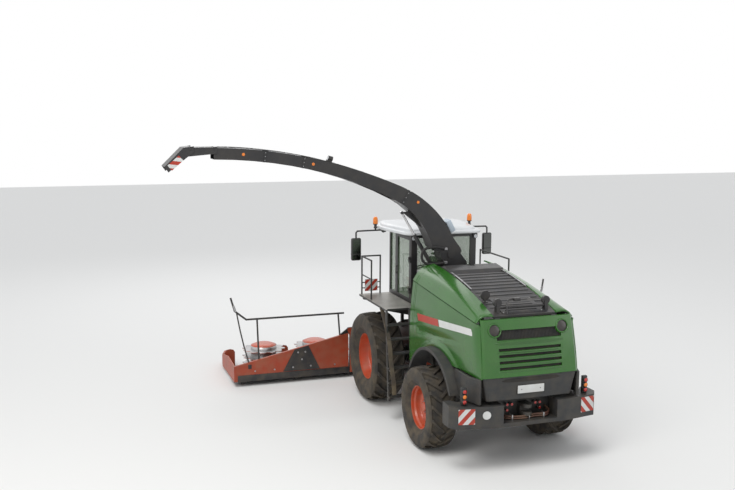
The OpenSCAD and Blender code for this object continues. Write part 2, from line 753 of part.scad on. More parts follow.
module hood_side(side) {
    y0 = hood_front_y + 20;
    color(green) {
        difference() {
            loft([for (i = [0:6]) ring_on_side(side_ring(mix(y0, hood_rear_y, i / 6)), side)]);
            at_hub(side, 500, wheelbase, rear_hub_z) cylinder(h = 800, r = arch_r + 70, $fn = 96);
            // notches for the hinge sleeves
            for (y = side_hinge_ys) side_hinge_bar(y - free, y + sleeve_l + free, bead_r + 2 * seam + 5, side);
        }
        side_hinge_bar(y0 + 10, hood_rear_y - 10, bead_r - 1, side);
    }
}

// Louvred deck between the shoulders, with a raised box at its front and a plain pad at its rear
deck_y0 = hood_front_y + 460;
deck_y1 = hood_rear_y - 40;
pad_l = 260;
// Underside of the deck, straight between its steps
deck_steps = 8;
function deck_step_y(i) = mix(deck_y0, deck_y1, i / deck_steps);
function deck_under_z(y) = let (u = deck_steps * (y - deck_y0) / (deck_y1 - deck_y0), i = floor(u))
    mix(deck_edge_z(deck_step_y(i)), deck_edge_z(deck_step_y(i + 1)), u - i) - deck_t;
function pad_z(y) = mix(deck_edge_z(deck_y1 - pad_l), deck_edge_z(deck_y1), (y - deck_y1 + pad_l) / pad_l) - 14;

module hood_deck() {
    y0 = deck_y0;
    y1 = deck_y1;
    y2 = y0 + 420;
    slats = 11;
    step = (y1 - pad_l - y2) / slats;
    under = [for (i = [deck_steps:-1:0]) [deck_step_y(i), deck_edge_z(deck_step_y(i)) - deck_t]];
    gap = seam - hood_wall / 2 - seat;
    color(black) intersection() {
        across(-deck_half_w - 60, deck_half_w + 60)
            polygon(concat(
                [[y0, deck_edge_z(y0) + 20], [y0 + 80, deck_edge_z(y0) + 50],
                 [y0 + 380, deck_edge_z(y0 + 380) + 40], [y2 - 5, deck_edge_z(y2) - 20]],
                [for (i = [0:slats - 1], k = [0, 1]) let (y = y2 + (i + k * 0.8) * step)
                    [y, deck_edge_z(y) - 20 + 14 * k]],
                [[y1 - pad_l, pad_z(y1 - pad_l)], [y1, pad_z(y1)]], under));
        // plan, with a notch in front for the parked tilt cylinder
        linear_extrude(4000)
            polygon([[-deck_edge_x(y0) - gap, y0], [-80, y0], [-70, y0 + 160], [70, y0 + 160], [80, y0],
                     [deck_edge_x(y0) + gap, y0], [deck_edge_x(y1) + gap, y1], [-deck_edge_x(y1) - gap, y1]]);
    }
}

module spout_rest() {
    y = deck_y1 - pad_l / 2;
    z = pad_z(y);
    color(black) {
        bar([-500, y, z + 70], [500, y, z + 70], 24);
        both_sides() {
            across(440, 500)
                polygon([[y - 50, pad_z(y - 50) + seat], [y + 50, pad_z(y + 50) + seat], [y + 35, z + 160], [y - 35, z + 160]]);
            translate([470, y, z + 160]) rotate([90, 0, 0]) cylinder(h = 50, r = 75, center = true);
        }
    }
}

// Rear end

module rear_flap() {
    z0 = hood_foot_z + 20;
    z1 = flap_axis[1] + flap_bar_r + 2;
    color(green) {
        difference() {
            loft([for (s = [0:4]) let (z = mix(z0, z1 + 20, s / 4), y = mix(flap_foot_y, hood_rear_y + 36, pow(s / 4, 1.3)),
                                       hw = mix(915, 880, s / 4))
                [[-hw, y - 30, z], [-hw + 40, y + 8, z], [-0.5 * hw, y + 24, z], [0, y + 30, z], [0.5 * hw, y + 24, z],
                 [hw - 40, y + 8, z], [hw, y - 30, z], [hw, y - 55, z], [0, y - 20, z], [-hw, y - 55, z]]]);
            // cooling slots and the screened opening over them
            for (i = [0:3]) block([-600, 4300, 1830 + i * 105], [600, 4900, 1880 + i * 105]);
            block([-620, 4300, 2330], [620, 4900, 2500]);
            // level top edge, with notches for the hinge sleeves
            block([-1000, 4300, z1], [1000, 4700, z1 + 100]);
            both_sides() translate([flap_hinge_x - free, flap_axis[0], flap_axis[1]]) rotate([0, 90, 0])
                cylinder(h = sleeve_l + 2 * free, r = flap_bar_r + 10 + free);
        }
        translate([-flap_hinge_x - sleeve_l - 60, flap_axis[0], flap_axis[1]]) rotate([0, 90, 0])
            cylinder(h = 2 * (flap_hinge_x + sleeve_l + 60), r = flap_bar_r);
    }
}

module rear_flap_skirt() {
    color(dark)
        loft([for (s = [0:2]) let (z = mix(1290, hood_foot_z + 20 - seat, s / 2), y = mix(flap_foot_y - 30, flap_foot_y, s / 2),
                                   hw = mix(820, 905, s / 2))
            [[-hw, y - 40, z], [-hw + 40, y - 2, z], [0, y + 20, z], [hw - 40, y - 2, z], [hw, y - 40, z],
             [hw, y - 70, z], [-hw, y - 70, z]]]);
}

module rear_skirt() {
    lip_x0 = hood_half_w + 5;
    color(dark) both_sides() {
        // wheel arch lip
        difference() {
            translate([900, wheelbase, rear_hub_z]) rotate([0, 90, 0]) cylinder(h = 340, r = arch_r + 60, $fn = 96);
            translate([800, wheelbase, rear_hub_z]) rotate([0, 90, 0]) cylinder(h = 540, r = arch_r, $fn = 96);
            block([800, wheelbase - 1500, -1000], [1400, wheelbase + 1500, 1250]);
        }
        // rear corner skirt
        difference() {
            translate([0, 0, 1250]) linear_extrude(hood_foot_z - 1250)
                polygon([[hood_half_w + 20, 3900], [hood_half_w + 10, 4450], [960, flap_foot_y - 10],
                         [920, flap_foot_y - 40], [920, flap_foot_y - 80], [1010, 4440], [hood_half_w - 20, 3900]]);
            translate([800, wheelbase, rear_hub_z]) rotate([0, 90, 0])
                cylinder(h = 540, r = arch_r + 60 + seat, $fn = 96);
        }
        // bracket to the body mount
        block([post_x + 80, rear_hoop_y, rail_top + seat], [hood_half_w - 10, rear_hoop_y + hoop_t, 1300]);
    }
}

module rear_bumper() {
    y0 = bumper_front_y;
    y1 = bumper_rear_y;
    color(dark) difference() {
        translate([0, 0, 830]) linear_extrude(390)
            polygon([[-1420, y0 - 130], [-1430, y0 + 150], [-1330, y1 - 120], [-700, y1], [700, y1], [1330, y1 - 120],
                     [1430, y0 + 150], [1420, y0 - 130], [1300, y0 - 130], [1200, y0], [-1200, y0], [-1300, y0 - 130]]);
        // bay for the tow coupling
        block([-520, y0 + 90, 900], [520, y1 + 100, 1300]);
        // hole through which the tow pin goes in from below
        translate([0, tow_pin_y, 800]) cylinder(h = 150, r = 3 * tow_bore_r);
    }
}

module tail_lamps() {
    z = 1220 + seat;
    color(dark) both_sides() block([1130, 4500, z], [1230, 4560, z + 320]);
    color(amber) both_sides()
        for (i = [0:2]) translate([1180, 4555, z + 70 + i * 90]) rotate([-90, 0, 0]) cylinder(h = 50, r = 38);
}

tow_pin_y = bumper_front_y + 270 + seat;

module tow_hitch() {
    y1 = tow_pin_y;
    y0 = y1 - 180;
    color(steel) difference() {
        union() {
            block([-90, y0, 960], [90, y0 + 110, 1160]);
            for (z = [960, 1100]) {
                translate([0, y1, z]) cylinder(h = 60, r = 90);
                block([-90, y0 + 100, z], [90, y1, z + 60]);
            }
        }
        translate([0, y1, 900]) cylinder(h = 300, r = tow_bore_r);
    }
}

// Spout, drawn in the plane of its reach: r outwards, z up

tilt_r = 150;
tilt_z = 3350;
elbow_r = 215;
arm_start = [330, 3580];
bend_a = 43;
arm_end_slope = 0.5;

function dir(a) = [cos(a), sin(a)];
// Centre line by length share: the tight bend first, then the long sweep
bend_len = bend_r * bend_a * PI / 180;
sweep_a = spout_slope - bend_a - arm_end_slope;
sweep_len = sweep_r * sweep_a * PI / 180;
bend_c = arm_start + bend_r * dir(spout_slope - 90);
bend_end = bend_c + bend_r * dir(spout_slope - bend_a + 90);
sweep_c = bend_end + sweep_r * dir(spout_slope - bend_a - 90);

function spine(s) = s < bend_len
    ? bend_c + bend_r * dir(spout_slope + 90 - s / bend_r * 180 / PI)
    : sweep_c + sweep_r * dir(spout_slope - bend_a + 90 - (s - bend_len) / sweep_r * 180 / PI);
function slope_at(s) = s < bend_len
    ? spout_slope - s / bend_r * 180 / PI
    : spout_slope - bend_a - (s - bend_len) / sweep_r * 180 / PI;
arm_len = bend_len + sweep_len;
function depth_at(s) = spout_h1 + (spout_h0 - spout_h1) * pow(1 - s / arm_len, 4);
arm_steps = [for (i = [0:5]) i * bend_len / 6, for (i = [0:10]) bend_len + i * sweep_len / 10];

// Outline of the arm seen from the side, drawn in by a wall at the back and at the mouth
module arm_outline(back, mouth) {
    top = [for (s = arm_steps) spine(s) + (depth_at(s) / 2 - back) * dir(slope_at(s) + 90)];
    low = [for (i = [len(arm_steps) - 1:-1:0]) let (s = arm_steps[i])
        spine(s) - (depth_at(s) / 2 - mouth) * dir(slope_at(s) + 90)];
    polygon(concat(top, low));
}

// Stands the spout's plane up over the turning axis, pointing to the machine's left
module spout_plane(w) {
    translate([0, spout_y + w / 2, 0]) rotate([90, 0, 0]) linear_extrude(w) children();
}

// Root of the arm over the elbow's round end, drawn in by a wall and let out past its lower edges by an angle
module arm_root(wall, past) {
    r = elbow_r + free + spout_t - wall;
    polygon(concat(
        [for (a = [168 + past, 159, 150]) [tilt_r, tilt_z] + r * dir(a)],
        [arm_start + (0.5 * spout_h0 - wall) * dir(spout_slope + 90) + wall * dir(spout_slope),
         arm_start - (0.5 * spout_h0 - wall) * dir(spout_slope + 90) + wall * dir(spout_slope),
         [tilt_r, tilt_z] + r * dir(8 - past)]));
}

module spout_base() {
    w = spout_w - 2 * spout_t - 2 * free;
    color(black) {
        translate([0, spout_y, spout_z]) difference() {
            cylinder(h = 30, r = 335);
            translate([0, 0, -5]) cylinder(h = 50, r = 178);
        }
        difference() {
            union() {
                spout_plane(w) {
                    polygon([[-200, spout_z + 20], [260, spout_z + 20], [320, spout_z + 160], [tilt_r, tilt_z],
                             [tilt_r - elbow_r, tilt_z], [-200, spout_z + 120]]);
                    translate([tilt_r, tilt_z]) circle(r = elbow_r);
                }
                // lug for the tilt cylinder
                spout_plane(40) polygon([[230, spout_z + 5], [330, spout_z + 5], [520, spout_z + 48],
                                         [560, spout_z + 85], [530, spout_z + 125], [290, spout_z + 120]]);
            }
            spout_plane(w - 2 * spout_t)
                polygon([[-180, spout_z - 20], [180, spout_z - 20], [300, spout_z + 160], [tilt_r + 190, tilt_z - 20],
                         [tilt_r + 230, tilt_z + 260], [tilt_r - 60, tilt_z + 260], [tilt_r - 195, tilt_z], [-180, spout_z + 120]]);
            in_spout([tilt_r, tilt_z], 0) rotate([90, 0, 0]) cylinder(h = 600, r = tilt_pin_r + run, center = true);
            in_spout(tilt_base_pin, 0) rotate([90, 0, 0]) cylinder(h = 600, r = rod_pin_r + run, center = true);
        }
    }
}

module spout_arm() {
    // middle of the lower plate where the ears stand
    low = [for (i = [2:4]) let (s = arm_steps[i]) spine(s) - (depth_at(s) - spout_t) / 2 * dir(slope_at(s) + 90)];
    ear = rod_pin_r + 12;
    color(black) {
        difference() {
            union() {
                spout_plane(spout_w) arm_outline(0, 0);
                spout_plane(spout_w) {
                    arm_root(0, 0);
                    translate([tilt_r, tilt_z]) circle(r = 2 * tilt_pin_r);
                }
            }
            // the channel, open along its lower side past the bend
            spout_plane(spout_w - 2 * spout_t) {
                arm_outline(spout_t, spout_t);
                arm_root(spout_t, 10);
                translate([tilt_r, tilt_z]) circle(r = elbow_r + free - 1);
                translate(spine(bend_len)) rotate(spout_slope - bend_a) translate([0, -spout_h0]) square([600, spout_h0]);
                translate([spine(bend_len)[0] + 400, spine(bend_len)[1] - 800]) square([5000, 1000]);
            }
        }
        // pivot pins, in the elbow's bores
        for (s = [-1, 1]) in_spout([tilt_r, tilt_z], s * (spout_w / 2 - spout_t - free)) rotate([90, 0, 0])
            cylinder(h = 2 * (spout_t + free) - 4, r = tilt_pin_r, center = true);
        // ears for the tilt cylinder's rod
        for (s = [-1, 1]) translate([0, s * (rod_eye_w / 2 + seat + 6), 0]) spout_plane(12) {
            translate(tilt_arm_pin) circle(r = ear);
            polygon(concat([tilt_arm_pin + [ear, 0], tilt_arm_pin - [ear, 0]], low));
        }
        // pins for the upper flap
        for (s = [-1, 1]) in_spout(tip_point(0, upper_pin_d), s * (spout_w / 2 + free)) rotate([90, 0, 0])
            cylinder(h = 2 * free + spout_t, r = flap_pin_r, center = true);
    }
}
tilt_pin_r = 40;
rod_pin_r = 18;
rod_eye_w = 50;
flap_pin_r = 16;
upper_pin_d = spout_h1 / 2 - 28;

arm_tip = spine(arm_len);
reach_x = arm_tip[0] + 2 * flap_l + 10;
function tip_point(s, d) = arm_tip + s * dir(arm_end_slope) + d * dir(arm_end_slope + 90);

// A flap's hood with side plates of the same outline, and bores for the pins that carry it
module flap_shell(w, outline, pin) {
    difference() {
        spout_plane(w) polygon(outline);
        spout_plane(w - 2 * spout_t) {
            polygon([for (p = outline) p - [0, spout_t]]);
            // no roof behind the pins
            translate(pin) rotate(arm_end_slope) translate([-205, -300]) square([200, 600]);
        }
        in_spout(pin, 0) rotate([90, 0, 0]) cylinder(h = 2 * w, r = flap_pin_r + run, center = true);
    }
}

module spout_flap_upper() {
    w = spout_w + 2 * free + 2 * spout_t;
    h = spout_h1 / 2 + free + spout_t;
    color(black) {
        flap_shell(w, [tip_point(-60, h), tip_point(flap_l, h - 10), tip_point(flap_l + 20, h - 170),
                       tip_point(-50, h - 120)], tip_point(0, upper_pin_d));
        for (s = [-1, 1]) in_spout(lower_pin, s * (w / 2 + free)) rotate([90, 0, 0])
            cylinder(h = 2 * free + spout_t, r = flap_pin_r, center = true);
    }
}
lower_pin = tip_point(flap_l - 20, spout_h1 / 2 - 32);

module spout_flap_lower() {
    w = spout_w + 4 * free + 4 * spout_t;
    h = spout_h1 / 2 + 2 * free + 2 * spout_t;
    color(black) flap_shell(w, [tip_point(flap_l - 80, h), tip_point(flap_l + 110, h - 25), tip_point(2 * flap_l + 10, -230),
                                tip_point(2 * flap_l - 60, -330), tip_point(flap_l + 40, -60), tip_point(flap_l - 80, h - 110)],
                            lower_pin);
}

tilt_base_pin = [520, spout_z + 90];
tilt_arm_pin = [1150, 4200];
tilt_dir = (tilt_arm_pin - tilt_base_pin) / norm(tilt_arm_pin - tilt_base_pin);

module in_spout(p, y) { translate([p[0], spout_y + y, p[1]]) children(); }

module tilt_barrel() {
    p = tilt_base_pin + 70 * tilt_dir;
    q = tilt_base_pin + 700 * tilt_dir;
    color(dark) difference() {
        union() {
            bar([p[0], spout_y, p[1]], [q[0], spout_y, q[1]], 40);
            // fork and pin over the elbow's lug
            for (s = [-1, 1]) translate([0, s * (20 + seat + 7), 0]) spout_plane(14) {
                translate(tilt_base_pin) circle(r = 30);
                polygon([tilt_base_pin + 30 * [-tilt_dir[1], tilt_dir[0]], tilt_base_pin - 30 * [-tilt_dir[1], tilt_dir[0]],
                         p + 20 * tilt_dir - 30 * [-tilt_dir[1], tilt_dir[0]], p + 20 * tilt_dir + 30 * [-tilt_dir[1], tilt_dir[0]]]);
            }
            in_spout(tilt_base_pin, 0) rotate([90, 0, 0]) cylinder(h = 80, r = rod_pin_r, center = true);
        }
        bar([p[0] + 60 * tilt_dir[0], spout_y, p[1] + 60 * tilt_dir[1]],
            [q[0] + 60 * tilt_dir[0], spout_y, q[1] + 60 * tilt_dir[1]], 22 + run);
    }
}

module tilt_rod() {
    p = tilt_base_pin + 440 * tilt_dir;
    q = tilt_arm_pin - 20 * tilt_dir;
    color(steel) {
        bar([p[0], spout_y, p[1]], [q[0], spout_y, q[1]], 22);
        in_spout(tilt_arm_pin, 0) rotate([90, 0, 0]) cylinder(h = rod_eye_w, r = 34, center = true);
    }
}

// Feeder and header

module feeder_house() {
    color(dark) difference() {
        union() {
            difference() {
                across(-feeder_half_w, feeder_half_w)
                    polygon([[-280, 1080], [-280, 1620], [feeder_front_y, 1090], [feeder_front_y, 400]]);
                across(-feeder_half_w + 14, feeder_half_w - 14)
                    polygon([[-200, 1120], [-200, 1590], [-280, 1590], [feeder_front_y - 50, 1060],
                             [feeder_front_y - 50, 430]]);
            }
            // ears round the pivot pins
            both_sides() across(feeder_half_w - 14, feeder_half_w) {
                translate([pivot_y, pivot_z]) circle(r = 110);
                polygon([[pivot_y, pivot_z - 110], [pivot_y, pivot_z + 110], [-300, pivot_z + 160], [-300, pivot_z - 160]]);
            }
            both_sides() translate([feeder_half_w - 14, pivot_y, pivot_z]) rotate([0, 90, 0])
                cylinder(h = 14 + free + 30, r = pivot_r);
        }
    }
    // ears for the lift rods
    color(dark) both_sides() for (s = [-1, 1]) let (x = lift_x + s * (lift_eye_w / 2 + seat + 10))
        across(x - 10, x + 10) polygon([[lift_pin[0] - 60, feeder_floor(lift_pin[0] - 60) + 8], [lift_pin[0] - 40, lift_pin[1] - 50],
                                        [lift_pin[0] + 40, lift_pin[1] - 50], [lift_pin[0] + 120, feeder_floor(lift_pin[0] + 120) + 8]]);
}

// Height of the feeder's sloping floor, on its outside
function feeder_floor(y) = mix(1080, 400, (y + 280) / (feeder_front_y + 280));

lift_eye_w = 60;
lift_pin_r = 26;
lift_x = 300;
lift_base = [60, 640];
lift_pin = [-1150, 470];
lift_dir = (lift_pin - lift_base) / norm(lift_pin - lift_base);

module lift_bar(s0, s1, r) {
    a = lift_base + s0 * lift_dir;
    b = lift_base + s1 * lift_dir;
    both_sides() bar([lift_x, a[0], a[1]], [lift_x, b[0], b[1]], r);
}

module lift_barrels() {
    color(dark) difference() {
        union() {
            lift_bar(62, 800, lift_d / 2);
            lift_bar(20, 80, lift_eye_w / 2);
            both_sides() translate([lift_x, lift_base[0], lift_base[1]]) rotate([0, 90, 0])
                cylinder(h = lift_eye_w, r = 55, center = true);
        }
        lift_bar(90, 900, 30 + run);
        translate([-600, lift_base[0], lift_base[1]]) rotate([0, 90, 0]) cylinder(h = 1200, r = lift_pin_r + run);
    }
}

module lift_rods() {
    l = norm(lift_pin - lift_base);
    color(steel) {
        lift_bar(200, l - 30, 30);
        both_sides() translate([lift_x, lift_pin[0], lift_pin[1]]) rotate([0, 90, 0])
            cylinder(h = lift_eye_w, r = 45, center = true);
    }
}

disc_z = 170;

module rotor(x) {
    color(steel) translate([x, rotor_y, 0]) {
        // knife disc with its teeth
        translate([0, 0, disc_z]) linear_extrude(14)
            polygon([for (i = [0:71]) (rotor_r - (i % 3 == 0 ? 40 : 0)) * dir(5 * i)]);
        translate([0, 0, disc_z]) cylinder(h = 560, r = 300);
    }
    color(rim_red) translate([x, rotor_y, 0]) {
        for (h = [130, 300, 470]) translate([0, 0, disc_z + h]) linear_extrude(12)
            polygon([for (i = [0:35]) (rotor_r - 70 - (i % 3 == 0 ? 110 : (i % 3) * 20)) * dir(10 * i)]);
        translate([0, 0, disc_z + 560]) cylinder(h = 40, r1 = 300, r2 = 200);
    }
}

// A pointed snout between two rotors, with its tip at the front
module snout(x) {
    // columns: place behind the tip as a share of the length, half width, bottom, shoulder, top
    stations = [[0.0, 6, 90, 100, 110], [0.12, 40, 70, 130, 160], [0.45, 110, 60, 260, 330],
                [0.8, 150, 60, 380, 470], [1.0, 120, 60, 440, 520]];
    y1 = rotor_y - rotor_r - 30;
    color(rim_red) translate([x, 0, 0])
        loft([for (k = stations) let (y = mix(snout_tip_y, y1, k[0]), w = k[1])
            [[-w, y, k[2]], [w, y, k[2]], [w, y, k[3]], [0.7 * w, y, mix(k[3], k[4], 0.75)], [0, y, k[4]],
             [-0.7 * w, y, mix(k[3], k[4], 0.75)], [-w, y, k[3]]]]);
}

// Floor, back panel and carrying tube between two planes
module header_bay(x0, x1, top0, top1) {
    color(rim_red) along(header_back_y - 60, header_back_y)
        polygon([[x0, 260], [x1, 260], [x1, top1], [x0, top0]]);
    color(black) block([x0, header_back_y - 140, 120], [x1, header_back_y, 260]);
    color(black) block([x0, rotor_y + 80, 100], [x1, header_back_y - 100, 130]);
}

module header_frame() {
    difference() {
        header_bay(-rotor_pitch, rotor_pitch, 1080, 1080);
        block([-feeder_half_w + 30, header_back_y - 200, 420], [feeder_half_w - 30, header_back_y + 50, 1040]);
    }
    // rotor gearboxes and the snouts' skids
    color(black) both_sides()
        translate([rotor_pitch / 2, rotor_y, 60]) cylinder(h = disc_z - 60 - run, r = 200);
    color(black) for (i = [-1:1])
        block([i * rotor_pitch - 60, rotor_y - 700, 50], [i * rotor_pitch + 60, header_back_y - 100, 100]);
    color(black) block([-rotor_pitch, rotor_y - 60, 50], [rotor_pitch, rotor_y + 100, 130 - 20]);
    for (i = [-1:1]) snout(i * rotor_pitch);
    // bracket that meets the feeder
    color(black) for (x = [-feeder_half_w - 60, feeder_half_w])
        block([x, feeder_front_y - 0, 420], [x + 60, feeder_front_y + 80, 1060]);
    color(black) block([-feeder_half_w - 60, header_back_y, 1040], [feeder_half_w + 60, header_back_y + 20, 1080]);
    // hinge lugs for the wings, with their pins
    color(black) both_sides() {
        for (y = [header_back_y - 60, header_back_y - 12])
            along(y, y + 12) polygon([[rotor_pitch - 120, 1000], [rotor_pitch, 1000], [fold_x + 32, fold_z - 20],
                                      [fold_x + 32, fold_z + 20], [fold_x, fold_z + 36], [rotor_pitch - 120, fold_z + 36]]);
        block([rotor_pitch - 120, header_back_y - 50, 1000], [rotor_pitch - 60, header_back_y - 10, fold_z + 30]);
        along(header_back_y - 55, header_back_y - 5) translate([fold_x, fold_z]) circle(r = fold_pin_r);
    }
}
fold_pin_r = 18;

module wing() {
    x0 = fold_x;
    x1 = header_half_w - 60;
    header_bay(x0 + 10, x1, 1060, 480);
    color(black) for (i = [0, 1])
        translate([rotor_pitch * (1.5 + i), rotor_y, 60]) cylinder(h = disc_z - 60 - run, r = 200);
    color(black) for (i = [1, 2])
        block([(i + 1) * rotor_pitch - 60, rotor_y - 700, 50], [(i + 1) * rotor_pitch + 60, header_back_y - 100, 100]);
    color(black) block([x0 + 60, rotor_y - 60, 50], [3 * rotor_pitch, rotor_y + 100, 110]);
    // hinge lug round the frame's pin
    color(black) along(header_back_y - 48 + run, header_back_y - 12 - run) difference() {
        union() {
            translate([fold_x, fold_z]) circle(r = 2 * fold_pin_r);
            polygon([[fold_x - 10, fold_z - 30], [x0 + 30, 1000], [x0 + 200, 1000], [x0 + 200, 1040], [fold_x + 30, fold_z + 15]]);
        }
        translate([fold_x, fold_z]) circle(r = fold_pin_r + run);
    }
    snout(2 * rotor_pitch);
    snout(3 * rotor_pitch + 60);
    // outer side sheet
    color(rim_red) across(header_half_w - 60, header_half_w - 30)
        polygon([[header_back_y, 120], [header_back_y, 480], [rotor_y, 520], [rotor_y - 680, 400], [rotor_y - 680, 110]]);
    // stalk guide tube on its posts
    color(black) {
        run_of_bars([[x0 + 60, header_back_y - 200, 1500], [3650, header_back_y - 200, 1500],
                     [3900, header_back_y - 240, 1700], [3980, header_back_y - 300, 2000]], 22);
        bar([x0 + 200, header_back_y - 40, 900], [x0 + 200, header_back_y - 200, 1500], 20);
        bar([3400, header_back_y - 40, 500], [3400, header_back_y - 200, 1500], 20);
    }
}

module header_wing(side) { if (side > 0) wing(); else mirror([1, 0, 0]) wing(); }

// Moves the drawing so that the origin lies on the ground at the middle of the outline
origin = [(reach_x - header_half_w) / 2, (bumper_rear_y + snout_tip_y) / 2, 0];

module place() { translate(-origin) children(); }

// What is drawn

place() chassis();
place() front_axle();
place() rear_axle();
place() engine_block();
place() chopping_unit();
place() left_platform();
place() right_platform();
place() cab_body();
place() cab_roof();
place() cab_glass();
place() cab_interior();
place() mirrors();
place() roof_lamps();
place() hood_frame();
place() hood_shoulders();
place() hood_deck();
place() spout_rest();
place() rear_skirt();
place() rear_bumper();
place() tail_lamps();
place() tow_hitch();
place() spout_turret();
place() front_rim(1);  // rim_front_left
place() front_tyre(1);  // tyre_front_left
place() front_rim(-1);  // rim_front_right
place() front_tyre(-1);  // tyre_front_right
place() rear_rim(1);  // rim_rear_left
place() rear_tyre(1);  // tyre_rear_left
place() rear_rim(-1);  // rim_rear_right
place() rear_tyre(-1);  // tyre_rear_right
place() knuckle(1);  // knuckle_left
place() knuckle(-1);  // knuckle_right
place() steer_rod();
place() feeder_house();
place() header_frame();
place() header_wing(1);  // header_wing_left
place() header_wing(-1);  // header_wing_right
place() rotor(-2.5 * rotor_pitch);  // rotor_1
place() rotor(-1.5 * rotor_pitch);  // rotor_2
place() rotor(-0.5 * rotor_pitch);  // rotor_3
place() rotor(0.5 * rotor_pitch);  // rotor_4
place() rotor(1.5 * rotor_pitch);  // rotor_5
place() rotor(2.5 * rotor_pitch);  // rotor_6
place() spout_base();
place() spout_arm();
place() spout_flap_upper();
place() spout_flap_lower();
place() cab_door();
place() cab_door_glass();
place() hood_side(1);  // hood_side_left
place() hood_side(-1);  // hood_side_right
place() rear_flap();
place() rear_flap_skirt();
place() lift_barrels();
place() lift_rods();
place() tilt_barrel();
place() tilt_rod();
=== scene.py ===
"""A self-propelled forage harvester with a folding rotary maize header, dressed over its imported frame."""
import math

import bmesh
import bpy
from mathutils import Matrix, Vector
from mathutils.bvhtree import BVHTree


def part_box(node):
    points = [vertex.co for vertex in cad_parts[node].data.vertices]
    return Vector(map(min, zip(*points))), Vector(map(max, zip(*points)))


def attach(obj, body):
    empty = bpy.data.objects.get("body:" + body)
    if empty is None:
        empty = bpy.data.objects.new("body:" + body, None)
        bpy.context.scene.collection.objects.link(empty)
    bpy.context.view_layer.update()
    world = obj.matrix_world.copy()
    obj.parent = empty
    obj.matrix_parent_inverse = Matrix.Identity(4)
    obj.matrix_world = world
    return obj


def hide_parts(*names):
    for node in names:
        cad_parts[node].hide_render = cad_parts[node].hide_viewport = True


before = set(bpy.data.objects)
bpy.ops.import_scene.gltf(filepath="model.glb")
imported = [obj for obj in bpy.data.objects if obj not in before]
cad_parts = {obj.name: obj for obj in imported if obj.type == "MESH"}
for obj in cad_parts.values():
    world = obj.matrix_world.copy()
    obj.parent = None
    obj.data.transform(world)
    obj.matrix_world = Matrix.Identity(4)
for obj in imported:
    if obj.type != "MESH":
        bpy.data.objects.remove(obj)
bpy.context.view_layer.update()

# The view: from behind the machine and to its left, a little above the hood.
# The drawing's zero point is on the ground under the middle of the front axle.
left_rim, right_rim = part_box("rim_front_left"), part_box("rim_front_right")
zero = Vector(((left_rim[1].x + right_rim[0].x) / 2, (left_rim[0].y + left_rim[1].y) / 2, 0))
view = bpy.data.cameras.new("view")
view.lens = 45.3
view.sensor_width = 36
view.clip_end = 200
camera = bpy.data.objects.new("view", view)
bpy.context.scene.collection.objects.link(camera)
yaw, pitch, roll = math.radians(-18.85), math.radians(8.34), math.radians(0.28)
sight = Vector((math.sin(yaw) * math.cos(pitch), -math.cos(yaw) * math.cos(pitch), -math.sin(pitch)))
camera.matrix_world = (Matrix.Translation(Vector((7.67, 18.43, 6.22)) + zero)
                       @ sight.to_track_quat("-Z", "Y").to_matrix().to_4x4() @ Matrix.Rotation(roll, 4, "Z"))
bpy.context.scene.camera = camera

# Wheels: rubber tyres with moulded lugs on pressed steel rims, bolted to the hubs.
# Shapes are drawn from the zero point, in metres; x is the machine's left, y its rear, z up.


def corners(node):
    """Lowest and highest corner of a frame solid, from the zero point."""
    return [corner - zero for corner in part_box(node)]


def placed(point, degrees, axis):
    """A place at a point, turned about one axis."""
    return Matrix.Translation(point) @ Matrix.Rotation(math.radians(degrees), 4, axis)


def mirrored(bm):
    """Adds the same shape on the machine's other side."""
    bmesh.ops.mirror(bm, geom=bm.verts[:] + bm.edges[:] + bm.faces[:], matrix=Matrix.Identity(4), axis="X",
                     merge_dist=1e-6)


def fitted(name, bm, finishes, body, replaced=(), bevel=0.0, angle=32, subdivided=0):
    """Makes a piece of a drawn shape, in its finishes, that rides on a body."""
    bmesh.ops.remove_doubles(bm, verts=bm.verts, dist=1e-5)
    bmesh.ops.recalc_face_normals(bm, faces=bm.faces)
    bmesh.ops.translate(bm, verts=bm.verts, vec=zero)
    mesh = bpy.data.meshes.new(name)
    bm.to_mesh(mesh)
    bm.free()
    return finished(name, mesh, finishes, body, replaced, bevel, angle, subdivided)


def finished(name, mesh, finishes, body, replaced=(), bevel=0.0, angle=32, subdivided=0):
    """Makes a piece of a mesh that is in its place."""
    obj = bpy.data.objects.new(name, mesh)
    bpy.context.scene.collection.objects.link(obj)
    for finish in finishes:
        mesh.materials.append(finish)
    mesh.shade_smooth()
    mesh.set_sharp_from_angle(angle=math.radians(angle))
    if subdivided:
        rounding = obj.modifiers.new("rounding", "SUBSURF")
        rounding.levels = rounding.render_levels = subdivided
    if bevel:
        edge = obj.modifiers.new("edge", "BEVEL")
        edge.width = bevel
        edge.segments = 2
        edge.limit_method = "ANGLE"
        edge.angle_limit = math.radians(35)
        edge.harden_normals = False
    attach(obj, body)
    if replaced:
        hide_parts(*replaced)
    return obj


